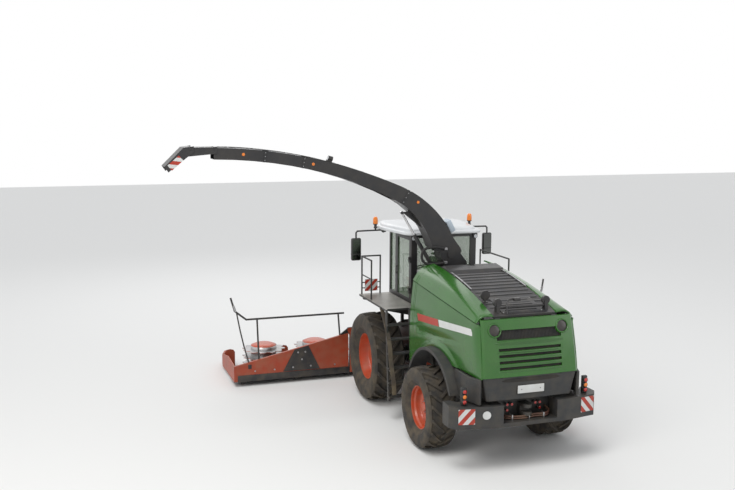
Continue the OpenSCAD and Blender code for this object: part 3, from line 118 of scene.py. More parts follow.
def painted(name, colour, roughness=0.4, metallic=0.0, coat=0.0, mottle=0.10, grain=90.0, bump=0.0,
            dust=0.25, dust_colour=(0.23, 0.18, 0.11)):
    """A finish: colour that varies softly, grain in its gloss and relief, and field dust that gathers low down."""
    mat = bpy.data.materials.new(name)
    mat.use_nodes = True
    nodes, links = mat.node_tree.nodes, mat.node_tree.links
    shader = nodes["Principled BSDF"]
    for name_in, value in (("Metallic", metallic), ("Coat Weight", coat), ("Coat Roughness", 0.12)):
        shader.inputs[name_in].default_value = value
    where = nodes.new("ShaderNodeTexCoord").outputs["Object"]

    def noise(scale, detail):
        node = nodes.new("ShaderNodeTexNoise")
        node.inputs["Scale"].default_value = scale
        node.inputs["Detail"].default_value = detail
        links.new(where, node.inputs["Vector"])
        return node.outputs["Fac"]

    def ramp(value, *ends):
        node = nodes.new("ShaderNodeMapRange")
        for name_in, end in zip(("From Min", "From Max", "To Min", "To Max"), ends):
            node.inputs[name_in].default_value = end
        links.new(value, node.inputs["Value"])
        return node.outputs["Result"]

    def blended(factor, first, second):
        node = nodes.new("ShaderNodeMix")
        node.data_type = "RGBA"
        links.new(factor, node.inputs["Factor"])
        for socket, value in (("A", first), ("B", second)):
            target = [i for i in node.inputs if i.name == socket and i.type == "RGBA"][0]
            if isinstance(value, bpy.types.NodeSocket):
                links.new(value, target)
            else:
                target.default_value = (*value, 1)
        return [o for o in node.outputs if o.type == "RGBA"][0]

    paint = blended(ramp(noise(1.7, 5), 0.3, 0.7, 0, 1), [c * (1 - mottle) for c in colour],
                    [min(1, c * (1 + mottle)) for c in colour])
    if dust:
        apart = nodes.new("ShaderNodeSeparateXYZ")
        links.new(where, apart.inputs["Vector"])
        lowness = ramp(apart.outputs["Z"], 3.2, 0.0, 0.25, 1.0)
        cloud = ramp(noise(5.5, 8), 0.36, 0.72, 0, dust)
        share = nodes.new("ShaderNodeMath")
        share.operation = "MULTIPLY"
        links.new(lowness, share.inputs[0])
        links.new(cloud, share.inputs[1])
        paint = blended(share.outputs["Value"], paint, dust_colour)
    links.new(paint, shader.inputs["Base Color"])
    fine = noise(grain, 6)
    links.new(ramp(fine, 0.3, 0.7, max(0.02, roughness - 0.06), min(1, roughness + 0.1)), shader.inputs["Roughness"])
    if bump:
        relief = nodes.new("ShaderNodeBump")
        relief.inputs["Strength"].default_value = bump
        relief.inputs["Distance"].default_value = 0.002
        links.new(fine, relief.inputs["Height"])
        links.new(relief.outputs["Normal"], shader.inputs["Normal"])
    return mat


rubber = painted("rubber", (0.030, 0.027, 0.024), 0.78, mottle=0.2, grain=60, bump=0.35, dust=0.75,
                 dust_colour=(0.135, 0.105, 0.066))
wheel_red = painted("wheel_red", (0.50, 0.060, 0.016), 0.38, coat=0.35, mottle=0.12, dust=0.35)
bright_steel = painted("bright_steel", (0.42, 0.42, 0.43), 0.32, metallic=0.9, mottle=0.18, bump=0.1, dust=0.3)


def added(bm, part, finish=0, place=None):
    """Adds a part of a shape to the whole, in one finish, or in the finishes its faces have if that is None."""
    if place is not None:
        bmesh.ops.transform(part, matrix=place, verts=part.verts)
    bmesh.ops.recalc_face_normals(part, faces=part.faces)
    if finish is not None:
        for face in part.faces:
            face.material_index = finish
    mesh = bpy.data.meshes.new("part")
    part.to_mesh(mesh)
    part.free()
    bm.from_mesh(mesh)
    bpy.data.meshes.remove(mesh)


def boxed(bm, low, high, finish=0, round_by=0.0, place=None):
    """A block between two corners, its edges rounded if asked."""
    part = bmesh.new()
    size = [b - a for a, b in zip(low, high)]
    middle = [(a + b) / 2 for a, b in zip(low, high)]
    bmesh.ops.create_cube(part, size=1, matrix=Matrix.Translation(middle) @ Matrix.Diagonal((*size, 1)))
    if round_by:
        bmesh.ops.bevel(part, geom=part.edges[:], offset=round_by, offset_type="OFFSET", segments=3, profile=0.5,
                        affect="EDGES", material=-1, clamp_overlap=True)
    added(bm, part, finish, place)


def rod(bm, a, b, r0, r1=None, finish=0, sides=16, place=None):
    """A round bar or cone from one point to another."""
    part = bmesh.new()
    a, b = Vector(a), Vector(b)
    turn = (b - a).to_track_quat("Z", "Y").to_matrix().to_4x4()
    bmesh.ops.create_cone(part, cap_ends=True, cap_tris=False, segments=sides, radius1=r0,
                          radius2=r0 if r1 is None else r1, depth=(b - a).length,
                          matrix=Matrix.Translation((a + b) / 2) @ turn)
    added(bm, part, finish, place)


def tube(bm, points, r, finish=0, sides=10):
    """A bent round bar through points: straight bars with a ball at each bend."""
    for a, b in zip(points, points[1:]):
        rod(bm, a, b, r, finish=finish, sides=sides)
    for p in points[1:-1]:
        part = bmesh.new()
        bmesh.ops.create_uvsphere(part, u_segments=sides, v_segments=6, radius=r * 1.04,
                                  matrix=Matrix.Translation(p))
        added(bm, part, finish)


def lathed(bm, outline, steps, place=None, finish=0):
    """A closed outline of (radius, height) points spun round the height axis, then put in its place."""
    part = bmesh.new()
    first = [part.verts.new((r, 0, h)) for r, h in outline]
    edges = [part.edges.new((first[i], first[(i + 1) % len(first)])) for i in range(len(first))]
    bmesh.ops.spin(part, geom=first + edges, cent=(0, 0, 0), axis=(0, 0, 1), dvec=(0, 0, 0),
                   angle=2 * math.pi, steps=steps, use_merge=True, use_duplicate=False)
    bmesh.ops.remove_doubles(part, verts=part.verts, dist=1e-5)
    added(bm, part, finish, place)


def skinned(bm, rings, finish=0, place=None):
    """A body through rings of points, the same number in each, closed at both ends."""
    part = bmesh.new()
    loops = []
    for ring in rings:
        verts = [part.verts.new(p) for p in ring]
        loops.append([part.edges.new((verts[i], verts[(i + 1) % len(verts)])) for i in range(len(verts))])
    for loop in (loops[0], loops[-1]):
        bmesh.ops.contextual_create(part, geom=loop)
    for near, far in zip(loops, loops[1:]):
        bmesh.ops.bridge_loops(part, edges=near + far, use_pairs=False, use_cyclic=False, use_merge=False,
                               merge_factor=0.5, twist_offset=0)
    added(bm, part, finish, place)


hands = (("left", 1), ("right", -1))
# a tyre's side, from its bead to its tread: shares of its height over the rim, and of its half width
tyre_line = [(0.0, 0.70), (0.08, 0.72), (0.18, 0.86), (0.42, 0.99), (0.70, 1.0), (0.84, 0.965), (0.92, 0.86)]


def wheel(end, side_name, side, x, y, r, w, rim_r, lugs, lug_h):
    """A tyre with its lugs, and its rim with hub, nuts and valve."""
    place = Matrix.Translation((side * x, y, r)) @ Matrix.Rotation(side * math.pi / 2, 4, "Y")
    body = f"wheel_{end}_{side_name}"
    crown = r - lug_h

    def level(share):
        return rim_r + share * (r - rim_r)

    # carcass, with raised ribs on its sidewalls
    half = [(level(s), h * w / 2) for s, h in tyre_line]
    rib = level(0.30)
    half[3:3] = [(rib - 0.006, 0.925 * w / 2), (rib, 0.955 * w / 2), (rib + 0.008, 0.945 * w / 2)]
    half += [(crown - 0.012, 0.70 * w / 2), (crown, 0.35 * w / 2)]
    inner = [(level(0.86), 0.80 * w / 2), (level(0.5), 0.86 * w / 2), (level(0.1), 0.64 * w / 2)]
    outline = half + [(a, -b) for a, b in reversed(half)] + [(a, -b) for a, b in reversed(inner)] + inner
    tyre = bmesh.new()
    lathed(tyre, outline, 96)
    for i in range(lugs):
        for flank in (-1, 1):
            start = 2 * math.pi * (i + (0.5 if flank > 0 else 0)) / lugs
            lug = bmesh.new()
            bmesh.ops.create_cube(lug, size=1)
            bmesh.ops.translate(lug, verts=lug.verts, vec=(0.5, 0, 0))
            along = [e for e in lug.edges if abs(e.verts[0].co.x - e.verts[1].co.x) > 0.5]
            bmesh.ops.subdivide_edges(lug, edges=along, cuts=5, use_grid_fill=True)
            for v in lug.verts:
                # s runs along the lug, from the tyre's middle over its shoulder; a lug leans and widens outwards
                s, across, top = v.co.x, v.co.y, v.co.z > 0
                reach = min(1, s / 0.82)
                if s < 0.84:
                    rho = r - 0.010 * reach ** 3 if top else crown - 0.018
                    height = -0.03 * w + s * 0.985 * w / 2
                else:
                    rho = level(0.90 if s < 0.95 else 0.78) + (0.014 if top else -0.03)
                    height = (0.985 if top else 0.93) * w / 2
                thick = (0.030 + 0.016 * reach) * (0.80 if top else 1.25) * (w / 0.62)
                angle = start + side * (0.30 * reach ** 1.15) + across * 2 * thick / r
                v.co = (rho * math.cos(angle), rho * math.sin(angle), flank * height)
            added(tyre, lug)
    bmesh.ops.transform(tyre, matrix=place, verts=tyre.verts)
    fitted(f"treaded_tyre_{end}_{side_name}", tyre, [rubber], body, [f"tyre_{end}_{side_name}"],
           bevel=0.004, angle=38)

    # rim: rolled flanges, a stepped well, a dished disc with eight pressings drawn as flat dark discs of painted
    # shade, hub and nuts
    flange, lip, dish, hub = rim_r + 0.021, 0.35 * w, 0.10 * w, 0.155
    ring_in, ring_mid, ring_out, ring_edge = (rim_r * share for share in (0.42, 0.50, 0.66, 0.76))
    rim = bmesh.new()
    lathed(rim, [(hub, dish - 0.045), (ring_in, dish - 0.045), (ring_mid, dish - 0.010), (ring_out, dish + 0.002),
                 (ring_edge, dish - 0.030), (rim_r - 0.055, dish - 0.044), (rim_r - 0.040, dish - 0.020),
                 (rim_r - 0.034, lip * 0.55), (rim_r - 0.012, lip - 0.055), (rim_r - 0.010, lip - 0.012),
                 (flange - 0.008, lip), (flange, lip + 0.003), (flange, lip - 0.003), (rim_r - 0.002, lip - 0.007),
                 (rim_r - 0.002, -lip + 0.007), (flange, -lip + 0.003), (flange, -lip - 0.003),
                 (flange - 0.008, -lip), (rim_r - 0.014, -lip + 0.012), (rim_r - 0.016, -lip * 0.4),
                 (rim_r - 0.070, dish - 0.085), (ring_edge, dish - 0.062), (ring_out, dish - 0.030),
                 (ring_mid, dish - 0.042), (ring_in, dish - 0.072), (hub, dish - 0.072)], 96)
    lathed(rim, [(0.0, -0.055), (0.0, dish + 0.052), (0.070, dish + 0.052), (0.082, dish + 0.040),
                 (0.085, dish - 0.008), (0.125, dish - 0.012), (hub + 0.004, dish - 0.030),
                 (hub + 0.004, -0.055)], 48)
    nut_r = (hub + ring_in) / 2
    for i in range(10):
        spoke = Matrix.Rotation(2 * math.pi * i / 10, 4, "Z")
        rod(rim, (nut_r, 0, dish - 0.046), (nut_r, 0, dish - 0.022), 0.017, finish=1, sides=6, place=spoke)
        rod(rim, (nut_r, 0, dish - 0.024), (nut_r, 0, dish - 0.012), 0.008, finish=1, sides=8, place=spoke)
    # the eight pressings: flat dark discs in the dish, their darkness painted shade
    for i in range(8):
        spoke = Matrix.Rotation(2 * math.pi * (i + 0.5) / 8, 4, "Z")
        rod(rim, (rim_r * 0.70, 0, dish - 0.022), (rim_r * 0.70, 0, dish - 0.012), 0.020, finish=2, sides=20,
            place=spoke)
    # valve
    rod(rim, (rim_r * 0.86, 0, dish - 0.04), (rim_r * 0.86, 0, dish + 0.02), 0.006, finish=1, sides=8)
    bmesh.ops.transform(rim, matrix=place, verts=rim.verts)
    fitted(f"pressed_rim_{end}_{side_name}", rim, [wheel_red, bright_steel, dark_paint], body,
           [f"rim_{end}_{side_name}"], angle=28)


dark_paint = painted("dark_paint", (0.027, 0.028, 0.029), 0.48, mottle=0.12, bump=0.10, dust=0.20)
for side_name, side in hands:
    wheel("front", side_name, side, 1.16, 0.0, 0.94, 0.68, 0.49, 20, 0.048)
    wheel("rear", side_name, side, 1.22, 3.1, 0.76, 0.56, 0.40, 18, 0.042)

# Frame and running gear: welded and painted steel under the body, kept as the frame's own solids.
# The cylinders' rods are bright chromed steel.


def dressed(finish, *nodes):
    """Gives frame solids their finish."""
    for node in nodes:
        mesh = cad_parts[node].data
        mesh.materials.clear()
        mesh.materials.append(finish)


def softened(node, finishes, body, bevel=0.004, angle=30, choose=None):
    """A copy of a frame solid with broken edges, which takes its place; a rule may choose each face's finish."""
    bm = bmesh.new()
    bm.from_mesh(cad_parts[node].data)
    bmesh.ops.remove_doubles(bm, verts=bm.verts, dist=1e-5)
    bmesh.ops.dissolve_limit(bm, angle_limit=math.radians(0.6), verts=bm.verts, edges=bm.edges)
    for face in bm.faces:
        face.material_index = choose(face.calc_center_median() - zero) if choose else 0
    mesh = bpy.data.meshes.new(node)
    bm.to_mesh(mesh)
    bm.free()
    return finished(f"dressed_{node}", mesh, finishes, body, [node], bevel, angle)


chrome = painted("chrome", (0.55, 0.55, 0.56), 0.16, metallic=1.0, mottle=0.05, dust=0.15)
dressed(dark_paint, "chassis", "front_axle", "rear_axle", "knuckle_left", "knuckle_right", "lift_barrels",
        "engine_block", "chopping_unit", "hood_frame", "spout_turret", "feeder_house")
dressed(chrome, "steer_rod", "lift_rods", "tilt_rod")

# Cab: a welded steel shell painted black, tinted safety glass bonded into it, and a door of the same make.
# The door hangs at its rear edge on two outside hinges.
cab_black = painted("cab_black", (0.022, 0.022, 0.024), 0.36, mottle=0.12, bump=0.08, dust=0.22)
tinted_glass = painted("tinted_glass", (0.24, 0.36, 0.22), 0.06, coat=0.6, mottle=0.06, dust=0.12)
tinted_glass.node_tree.nodes["Principled BSDF"].inputs["Alpha"].default_value = 0.30
tinted_glass.node_tree.nodes["Principled BSDF"].inputs["Coat Roughness"].default_value = 0.03
softened("cab_body", [cab_black], "root", 0.006)
dressed(tinted_glass, "cab_glass", "cab_door_glass")
softened("cab_door", [cab_black], "cab_door", 0.006)

# Cab roof: one white moulding that widens from its rear to behind the windscreen. A flat brim runs round
# it under a low crown, which has a hatch in it.
roof_white = painted("roof_white", (0.72, 0.74, 0.76), 0.36, coat=0.3, mottle=0.04, dust=0.18)
roof_low, roof_high = corners("cab_roof")
# corners of one half: the share of its half width, and how far back; 1 is the rear edge and -1 the front
roof_plan = ((0.80, 1.0), (0.97, 0.0), (1.0, -0.35), (0.86, -1.0))
brim = roof_low.z + 0.070


def rounded(outline, r, steps=6):
    """A bulging outline with its corners rounded to a radius."""
    ring = []
    for i, corner in enumerate(outline):
        corner = Vector(corner)
        back = (Vector(outline[i - 1]) - corner).normalized()
        ahead = (Vector(outline[(i + 1) % len(outline)]) - corner).normalized()
        half = back.angle(ahead) / 2
        centre = corner + (back + ahead).normalized() * r / math.sin(half)
        start, end = (corner + way * r / math.tan(half) - centre for way in (back, ahead))
        ring += [centre + r * start.lerp(end, k / steps).normalized() for k in range(steps + 1)]
    return ring


def roof_ring(inset, z):
    """A level outline of the roof, drawn in by a distance."""
    rear, front = roof_high.y - inset, roof_low.y + inset
    edge = [(share * roof_high.x - inset, rear if along == 1 else front if along == -1 else along)
            for share, along in roof_plan]
    outline = edge + [(-x, y) for x, y in reversed(edge)]
    return [(p.x, p.y, z) for p in rounded(outline, 0.18 - 0.2 * min(inset, 0.4))]


roof = bmesh.new()
skinned(roof, [roof_ring(inset, z) for inset, z in (
    (0.018, roof_low.z), (0.006, roof_low.z + 0.005), (0.0, roof_low.z + 0.016), (0.0, brim - 0.026),
    (0.010, brim - 0.010), (0.035, brim - 0.003), (0.075, brim), (0.092, brim + 0.003), (0.096, brim + 0.026),
    (0.106, brim + 0.042), (0.140, brim + 0.055), (0.240, brim + 0.063), (0.420, brim + 0.067))])
boxed(roof, (-0.28, 0.30, brim + 0.05), (0.28, 0.72, roof_high.z), 0, 0.006)
fitted("roof_shell", roof, [roof_white], "root", ["cab_roof"], angle=40)

# Lining and work lamps: a black plastic tray closes the roof from below. Round lamps with clear glass are
# screwed under its corners, two facing back and two ahead.
lamp_glass = painted("lamp_glass", (0.55, 0.57, 0.60), 0.12, coat=0.8, mottle=0.05, dust=0.1)
lamp_z = roof_low.z - 0.060
trim = bmesh.new()
boxed(trim, (-0.72, -0.36, roof_low.z - 0.030), (0.72, 0.89, roof_low.z - 0.001), 1, 0.008)
for x, y, facing in ((0.70, 0.915, 1), (-0.70, 0.915, 1), (0.86, -0.42, -1), (-0.86, -0.42, -1)):
    boxed(trim, (x - 0.05, y - 0.03, roof_low.z - 0.085), (x + 0.05, y + 0.02, roof_low.z - 0.001), 1, 0.012)
    rod(trim, (x, y - 0.02, lamp_z), (x, y + facing * 0.030, lamp_z), 0.045, finish=1, sides=24)
    rod(trim, (x, y, lamp_z), (x, y + facing * 0.033, lamp_z), 0.038, finish=0, sides=24)
fitted("roof_work_lamps", trim, [lamp_glass, cab_black], "root", angle=30)

# Beacons: amber domes of plastic on black bases. Each base is screwed to a stand on the mirror's arm.
amber = painted("amber", (0.85, 0.22, 0.012), 0.15, coat=0.6, mottle=0.08, dust=0.05)
beacon_low, beacon_high = corners("roof_lamps")
beacon_x = beacon_high.x - 0.055
beacons = bmesh.new()
for side in (-1, 1):
    stand = Matrix.Translation((side * beacon_x, (beacon_low.y + beacon_high.y) / 2, beacon_low.z))
    lathed(beacons, [(0.0, 0.0), (0.038, 0.0), (0.038, 0.024), (0.030, 0.034), (0.030, 0.079), (0.054, 0.084),
                     (0.054, 0.101), (0.0, 0.101)], 24, stand, 1)
    lathed(beacons, [(0.0, 0.102), (0.0535, 0.102), (0.0545, 0.149), (0.052, 0.199), (0.044, 0.234), (0.028, 0.251),
                     (0.0, 0.255)], 32, stand)
fitted("beacons", beacons, [amber, cab_black], "root", ["roof_lamps"], angle=40)

# Mirrors: a large and a small glass in one rounded plastic housing a side. A bent steel tube carries each,
# and comes out from under the roof.
mirror_glass = painted("mirror_glass", (0.13, 0.135, 0.13), 0.10, metallic=1.0, mottle=0.03, dust=0.05)
mirror_low, mirror_high = corners("mirrors")
mx, my = mirror_high.x - 0.11, (mirror_low.y + mirror_high.y) / 2
arm_z = roof_low.z - 0.019
mirror = bmesh.new()
tube(mirror, [(0.96, my, arm_z), (mx - 0.2, my, arm_z - 0.004), (mx - 0.03, my, arm_z - 0.006),
              (mx, my, arm_z - 0.04), (mx, my, mirror_low.z + 0.4)], 0.0175)
rod(mirror, (beacon_x, my, arm_z - 0.01), (beacon_x, my, beacon_low.z), 0.018)
boxed(mirror, (mx - 0.11, my - 0.044, mirror_low.z), (mx + 0.11, my + 0.044, roof_low.z - 0.172), 0, 0.035)
for z0, z1 in ((mirror_low.z + 0.15, roof_low.z - 0.195), (mirror_low.z + 0.025, mirror_low.z + 0.135)):
    boxed(mirror, (mx - 0.088, my + 0.0425, z0), (mx + 0.088, my + 0.045, z1), 1)
boxed(mirror, (mx - 0.115, my - 0.012, mirror_low.z + 0.136), (mx + 0.115, my + 0.012, mirror_low.z + 0.148))
mirrored(mirror)
fitted("mirror_pair", mirror, [cab_black, mirror_glass], "root", ["mirrors"], angle=40)

# Driver's place: a sprung seat with sewn cloth cushions on a bellows, and a console with the drive lever.
# The steering wheel stands on a column that is bolted to the cab's floor.
seat_cloth = painted("seat_cloth", (0.035, 0.036, 0.040), 0.9, mottle=0.25, grain=900, bump=0.5, dust=0.1)


def cushion(name, low, high):
    """A crowned pad whose sides pull in between its corners."""
    pad = bmesh.new()
    bmesh.ops.create_cube(pad, size=1)
    bmesh.ops.subdivide_edges(pad, edges=pad.edges[:], cuts=7, use_grid_fill=True)
    size = [b - a for a, b in zip(low, high)]
    thin = size.index(min(size))
    a, b = [k for k in range(3) if k != thin]
    for v in pad.verts:
        u = [2 * c for c in v.co]
        crown = (1 - u[a] ** 4) * (1 - u[b] ** 4)
        v.co[thin] *= 0.62 + 0.38 * crown
        v.co[a] *= 1 - 0.05 * (1 - u[b] ** 2) * abs(u[a])
        v.co[b] *= 1 - 0.05 * (1 - u[a] ** 2) * abs(u[b])
    bmesh.ops.transform(pad, matrix=Matrix.Translation([(a + b) / 2 for a, b in zip(low, high)])
                        @ Matrix.Diagonal((*size, 1)), verts=pad.verts)
    fitted(name, pad, [seat_cloth], "root", angle=180, subdivided=1)


cushion("seat_cushion", (-0.25, 0.07, 2.50), (0.25, 0.53, 2.60))
cushion("seat_back", (-0.24, 0.53, 2.62), (0.24, 0.63, 3.16))
cushion("headrest", (-0.14, 0.535, 3.18), (0.14, 0.62, 3.235))
inside = bmesh.new()
# seat: base plate, bellows of six folds, pan and back shell
seat_floor = 2.1403
boxed(inside, (-0.19, 0.16, seat_floor), (0.19, 0.54, 2.20), 0, 0.01)
for i in range(6):
    fold, z = 0.16 - 0.01 * (i % 2), 2.205 + 0.036 * i
    boxed(inside, (-fold, 0.18, z), (fold, 0.52, z + 0.032), 0, 0.012)
boxed(inside, (-0.24, 0.09, 2.425), (0.24, 0.53, 2.50), 0, 0.02)
boxed(inside, (-0.23, 0.60, 2.55), (0.23, 0.638, 3.16), 0, 0.015)
# console with its foot and lever
boxed(inside, (-0.40, 0.02, 2.635), (-0.29, 0.58, 2.738), 0, 0.02)
boxed(inside, (-0.41, 0.26, 2.15), (-0.29, 0.44, 2.64), 0, 0.02)
rod(inside, (-0.35, 0.10, 2.73), (-0.35, 0.08, 2.738), 0.03)
# steering column, wheel rim, three spokes and hub
boxed(inside, (-0.058, -0.478, 2.1405), (0.058, -0.382, 2.18), 0, 0.01)
rod(inside, (0, -0.42, 2.17), (0, -0.25, 2.775), 0.044, 0.030)
rim_place = placed((0, -0.25, 2.785), 25, "X")
profile = [(0.170 + 0.013 * math.cos(t * math.pi / 4), 0.013 * math.sin(t * math.pi / 4)) for t in range(8)]
lathed(inside, profile, 40, rim_place)
for i in range(3):
    rod(inside, (0.02, 0, 0), (0.165, 0, 0.0), 0.010, sides=8,
        place=rim_place @ placed((0, 0, 0), 90 + 120 * i, "Z"))
rod(inside, (0, 0, -0.01), (0, 0, 0.012), 0.045, place=rim_place)
fitted("driving_place", inside, [cab_black], "root", ["cab_interior"], angle=35)

# Platforms: chequered steel decks on painted beams, with a tubular rail each. They are bolted to the frame
# beside the cab, and a ladder with wide treads hangs on the left one.
tread_steel = painted("tread_steel", (0.30, 0.29, 0.27), 0.42, metallic=0.5, mottle=0.35, bump=0.4, grain=40,
                      dust=0.3)
tread_z = 2.25
for side_name, _ in hands:
    softened(f"{side_name}_platform", [dark_paint, tread_steel], "root", 0.003,
             choose=lambda p: int(tread_z - 0.001 < p.z < tread_z + 0.0005))

# Ladder strip: a wide dusty steel strip behind the ladder, bent to a long curve. Its top is bolted under
# the platform, and two stays tie it to the ladder. Two bars on the front rail carry the warning board.
dusty_steel = painted("dusty_steel", (0.060, 0.048, 0.036), 0.55, mottle=0.3, dust=0.7)
strip_way = ((0, 1.07, 2.215), (0, 1.24, 2.03), (0, 1.44, 1.77), (0, 1.57, 1.50), (0, 1.62, 1.28), (0, 1.72, 1.05),
             (0, 1.80, 0.85), (0, 1.84, 0.62))
strip_section = ((1.39, 0), (1.475, 0), (1.475, 0.016), (1.39, 0.016))


def curved(way, steps):
    """A smooth line through points, as a list with a number of steps from each point to the next."""
    line = []
    for i in range(len(way) - 1):
        p = [Vector(way[max(0, min(len(way) - 1, i + j))]) for j in (-1, 0, 1, 2)]
        for k in range(steps):
            t = k / steps
            line.append(0.5 * (2 * p[1] + (p[2] - p[0]) * t + (2 * p[0] - 5 * p[1] + 4 * p[2] - p[3]) * t ** 2
                               + (3 * p[1] - p[0] - 3 * p[2] + p[3]) * t ** 3))
    return line + [Vector(way[-1])]


rails = bmesh.new()
skinned(rails, [[(x, point.y + back, point.z) for x, back in strip_section] for point in curved(strip_way, 6)], 1)
boxed(rails, (1.40, 1.03, 2.19), (1.465, 1.09, 2.245), 0, 0.004)
for y, z in ((1.575, 1.47), (1.72, 1.04)):
    rod(rails, (1.43, 1.45, z), (1.43, y, z), 0.012)
for z in (2.50, 2.38):
    rod(rails, (0.98, -0.30, z), (1.40, -0.30, z), 0.012, sides=10)
boxed(rails, (1.045, -0.290, 2.31), (1.335, -0.283, 2.57), 0, 0.003)
fitted("ladder_rail", rails, [cab_black, dusty_steel], "root", angle=40)


# Warning board: a white sheet metal panel with slanted bands of red film, screwed to the bars of the left
# platform's front rail.
plate_white = painted("plate_white", (0.66, 0.67, 0.66), 0.32, coat=0.3, mottle=0.05, dust=0.25)
film_red = painted("film_red", (0.42, 0.035, 0.018), 0.35, mottle=0.08, dust=0.15)


def warning_panel(bm, width, height, lean, place):
    """A panel 3 mm thick, cut by slanted lines into white and red bands of a third of its width."""
    part = bmesh.new()
    bmesh.ops.create_cube(part, size=1, matrix=Matrix.Diagonal((width, height, 0.003, 1)))
    band = width / 3
    for i in range(-6, 7):
        bmesh.ops.bisect_plane(part, geom=part.verts[:] + part.edges[:] + part.faces[:],
                               plane_co=((i + 0.5) * band, 0, 0), plane_no=Vector((1, lean, 0)).normalized())
    for face in part.faces:
        c = face.calc_center_median()
        face.material_index = (math.floor((c.x + lean * c.y) / band - 0.5) + 1) % 2 == 0
    added(bm, part, None, place)


rearward = Matrix.Rotation(-math.pi / 2, 4, "X")
board = bmesh.new()
warning_panel(board, 0.28, 0.25, -1.0, Matrix.Translation((1.19, -0.2815, 2.44)) @ rearward)
fitted("side_board", board, [plate_white, film_red], "root", angle=20)

# Hood shoulders: two swelling glass-fibre shells, sprayed green, that run down from the cab on each side of
# a louvred deck. Two narrow seams near the front part off a band, and a crease ends them over the sides.
green = painted("green", (0.020, 0.118, 0.009), 0.24, coat=0.45, mottle=0.10, grain=300, bump=0.02, dust=0.12,
                dust_colour=(0.16, 0.17, 0.07))
hood_front, hood_rear = 1.64, 4.48
seams = (1.80, 1.865)


def part_way(y):
    """How far along the hood a place is: 0 in front and 1 at the rear."""
    return (y - hood_front) / (hood_rear - hood_front)


def mix(a, b, t):
    """The value a share of the way from one to another."""
    return a + (b - a) * t


def deck_edge(y):
    """The line where shoulder and deck meet: half width and height at a place along the hood."""
    t = part_way(y)
    return 0.56 + 0.05 * t, 3.20 - 0.06 * t - 0.42 * t * t


def crease(y):
    """The line where shoulder and side panel meet: half width and height at a place along the hood."""
    t = part_way(y)
    return mix(0.985, 0.940, t), mix(2.880, 2.615, t)


def shoulder_ring(y, drawn=0.0, rows=14, shell=0.026):
    """Section of a shoulder at one station, drawn in by a distance: outer line up, inner line back."""
    (x0, z0), (x1, z1) = deck_edge(y), crease(y)
    x0 += 0.008
    line = []
    for i in range(rows, -1, -1):
        t = i / rows
        swell = 0.070 * math.sin(math.pi * t)
        line.append(Vector((mix(x0, x1, t) + 0.55 * swell, y, mix(z0, z1, t) + 0.83 * swell)))
    ring = []
    for depth in (drawn, shell):
        side = []
        for i, p in enumerate(line):
            t = min(1, i / (rows / 3))
            side.append(p - depth * Vector((mix(1, 0.5, t), 0, mix(0, 0.87, t))))
        ring += side if depth == drawn else side[::-1]
    return ring


shoulders = bmesh.new()
bounds = [hood_front, *seams, hood_rear - 0.03]
for k, (y0, y1) in enumerate(zip(bounds, bounds[1:])):
    y0 += 0.003 if k else 0
    y1 -= 0.003 if k < len(bounds) - 2 else 0
    steps = 30 if y1 - y0 > 1 else 4
    ys = [y0, y0 + 0.004] + [mix(y0, y1, i / steps) for i in range(1, steps)] + [y1 - 0.004, y1]
    skinned(shoulders, [shoulder_ring(y, 0.004 if y in (y0, y1) else 0.0) for y in ys])
mirrored(shoulders)
fitted("hood_shoulder_pair", shoulders, [green], "root", ["hood_shoulders"], angle=40)

# Side panels: green glass-fibre doors hinged along their upper edges. Each has a flared lip over the wheel
# arch and a shelf that dies out to the rear, and turns its corner in to meet the rear flap.
hinge_drop = 0.022
arch_y, arch_z, arch_r = 3.1, 0.76, 1.115
flap_low, flap_high = 1.71, 2.70
flap_top_y, flap_lean = 4.516, 0.214


def flap_y(z):
    """Where the rear flap's face stands at a height."""
    return flap_top_y + flap_lean * (1 - min(1, max(0, (z - flap_low) / (flap_high - flap_low))) ** 1.3)


def panel_foot(y):
    """Height of a side panel's lower edge away from the wheel arch."""
    return mix(1.25, 1.69, min(1, part_way(y) * 1.4))


def side_surface(y, z):
    """Outer face of a side panel: its half width at a place along the hood and a height."""
    t = part_way(y)
    x0, top = crease(y)
    u = (top - hinge_drop - z) / (top - hinge_drop - panel_foot(y))
    turned = math.sin(math.radians(min(90, 150 * max(0, u))))
    x = mix(x0, 1.05 - 0.095 * max(t, 0) ** 3, turned) - 0.040 * max(0, u - 0.6) ** 2
    # a shelf that runs down the panel and fades behind the arch
    shelf = mix(1.93, 2.16, (y - 1.97) / 2.05)
    fade = max(0, min(1, (y - 2.02) / 0.10)) * max(0, min(1, (4.10 - y) / 1.5))
    depth = 0.034 * fade * max(0, 1 - abs(z - shelf) / 0.17) ** 1.5
    x -= depth if z >= shelf else depth * max(0, 1 - (shelf - z) / 0.04)
    # a lip round the wheel arch
    ring = math.hypot(y - arch_y, z - arch_z) - arch_r
    if -0.02 < ring < 0.12:
        x += 0.032 * max(0, 1 - max(0, ring - 0.05) / 0.07) * min(1, max(0, (z - 1.25) / 0.25))
    return x


def rear_turn(y, z, x):
    """Leans the panel's rear end with the flap and turns its corner in to meet it."""
    lean = max(0, min(1, (y - 3.9) / 0.58))
    y += lean * (flap_y(z) - flap_top_y)
    edge = max(0, min(1, (lean - 0.70) / 0.30))
    fade = 1 if z < 2.55 else max(0, (2.62 - z) / 0.07)
    x -= (x - mix(0.927, 0.900, (z - flap_low) / 0.9)) * (1 - math.sqrt(1 - edge ** 2)) * fade
    return x, y


def side_line(y, rows=34):
    """Outer line of a side panel at one station, from under the crease down to its edge."""
    top = crease(y)[1] - hinge_drop + 0.006
    reach = arch_r ** 2 - (y - arch_y) ** 2
    low = max(panel_foot(y), arch_z + math.sqrt(reach) if reach > 0 else 0)
    line = []
    for i in range(rows + 1):
        z = mix(top, low, i / rows)
        x, along = rear_turn(y, z, side_surface(y, z))
        line.append(Vector((x, along, z)))
    return line


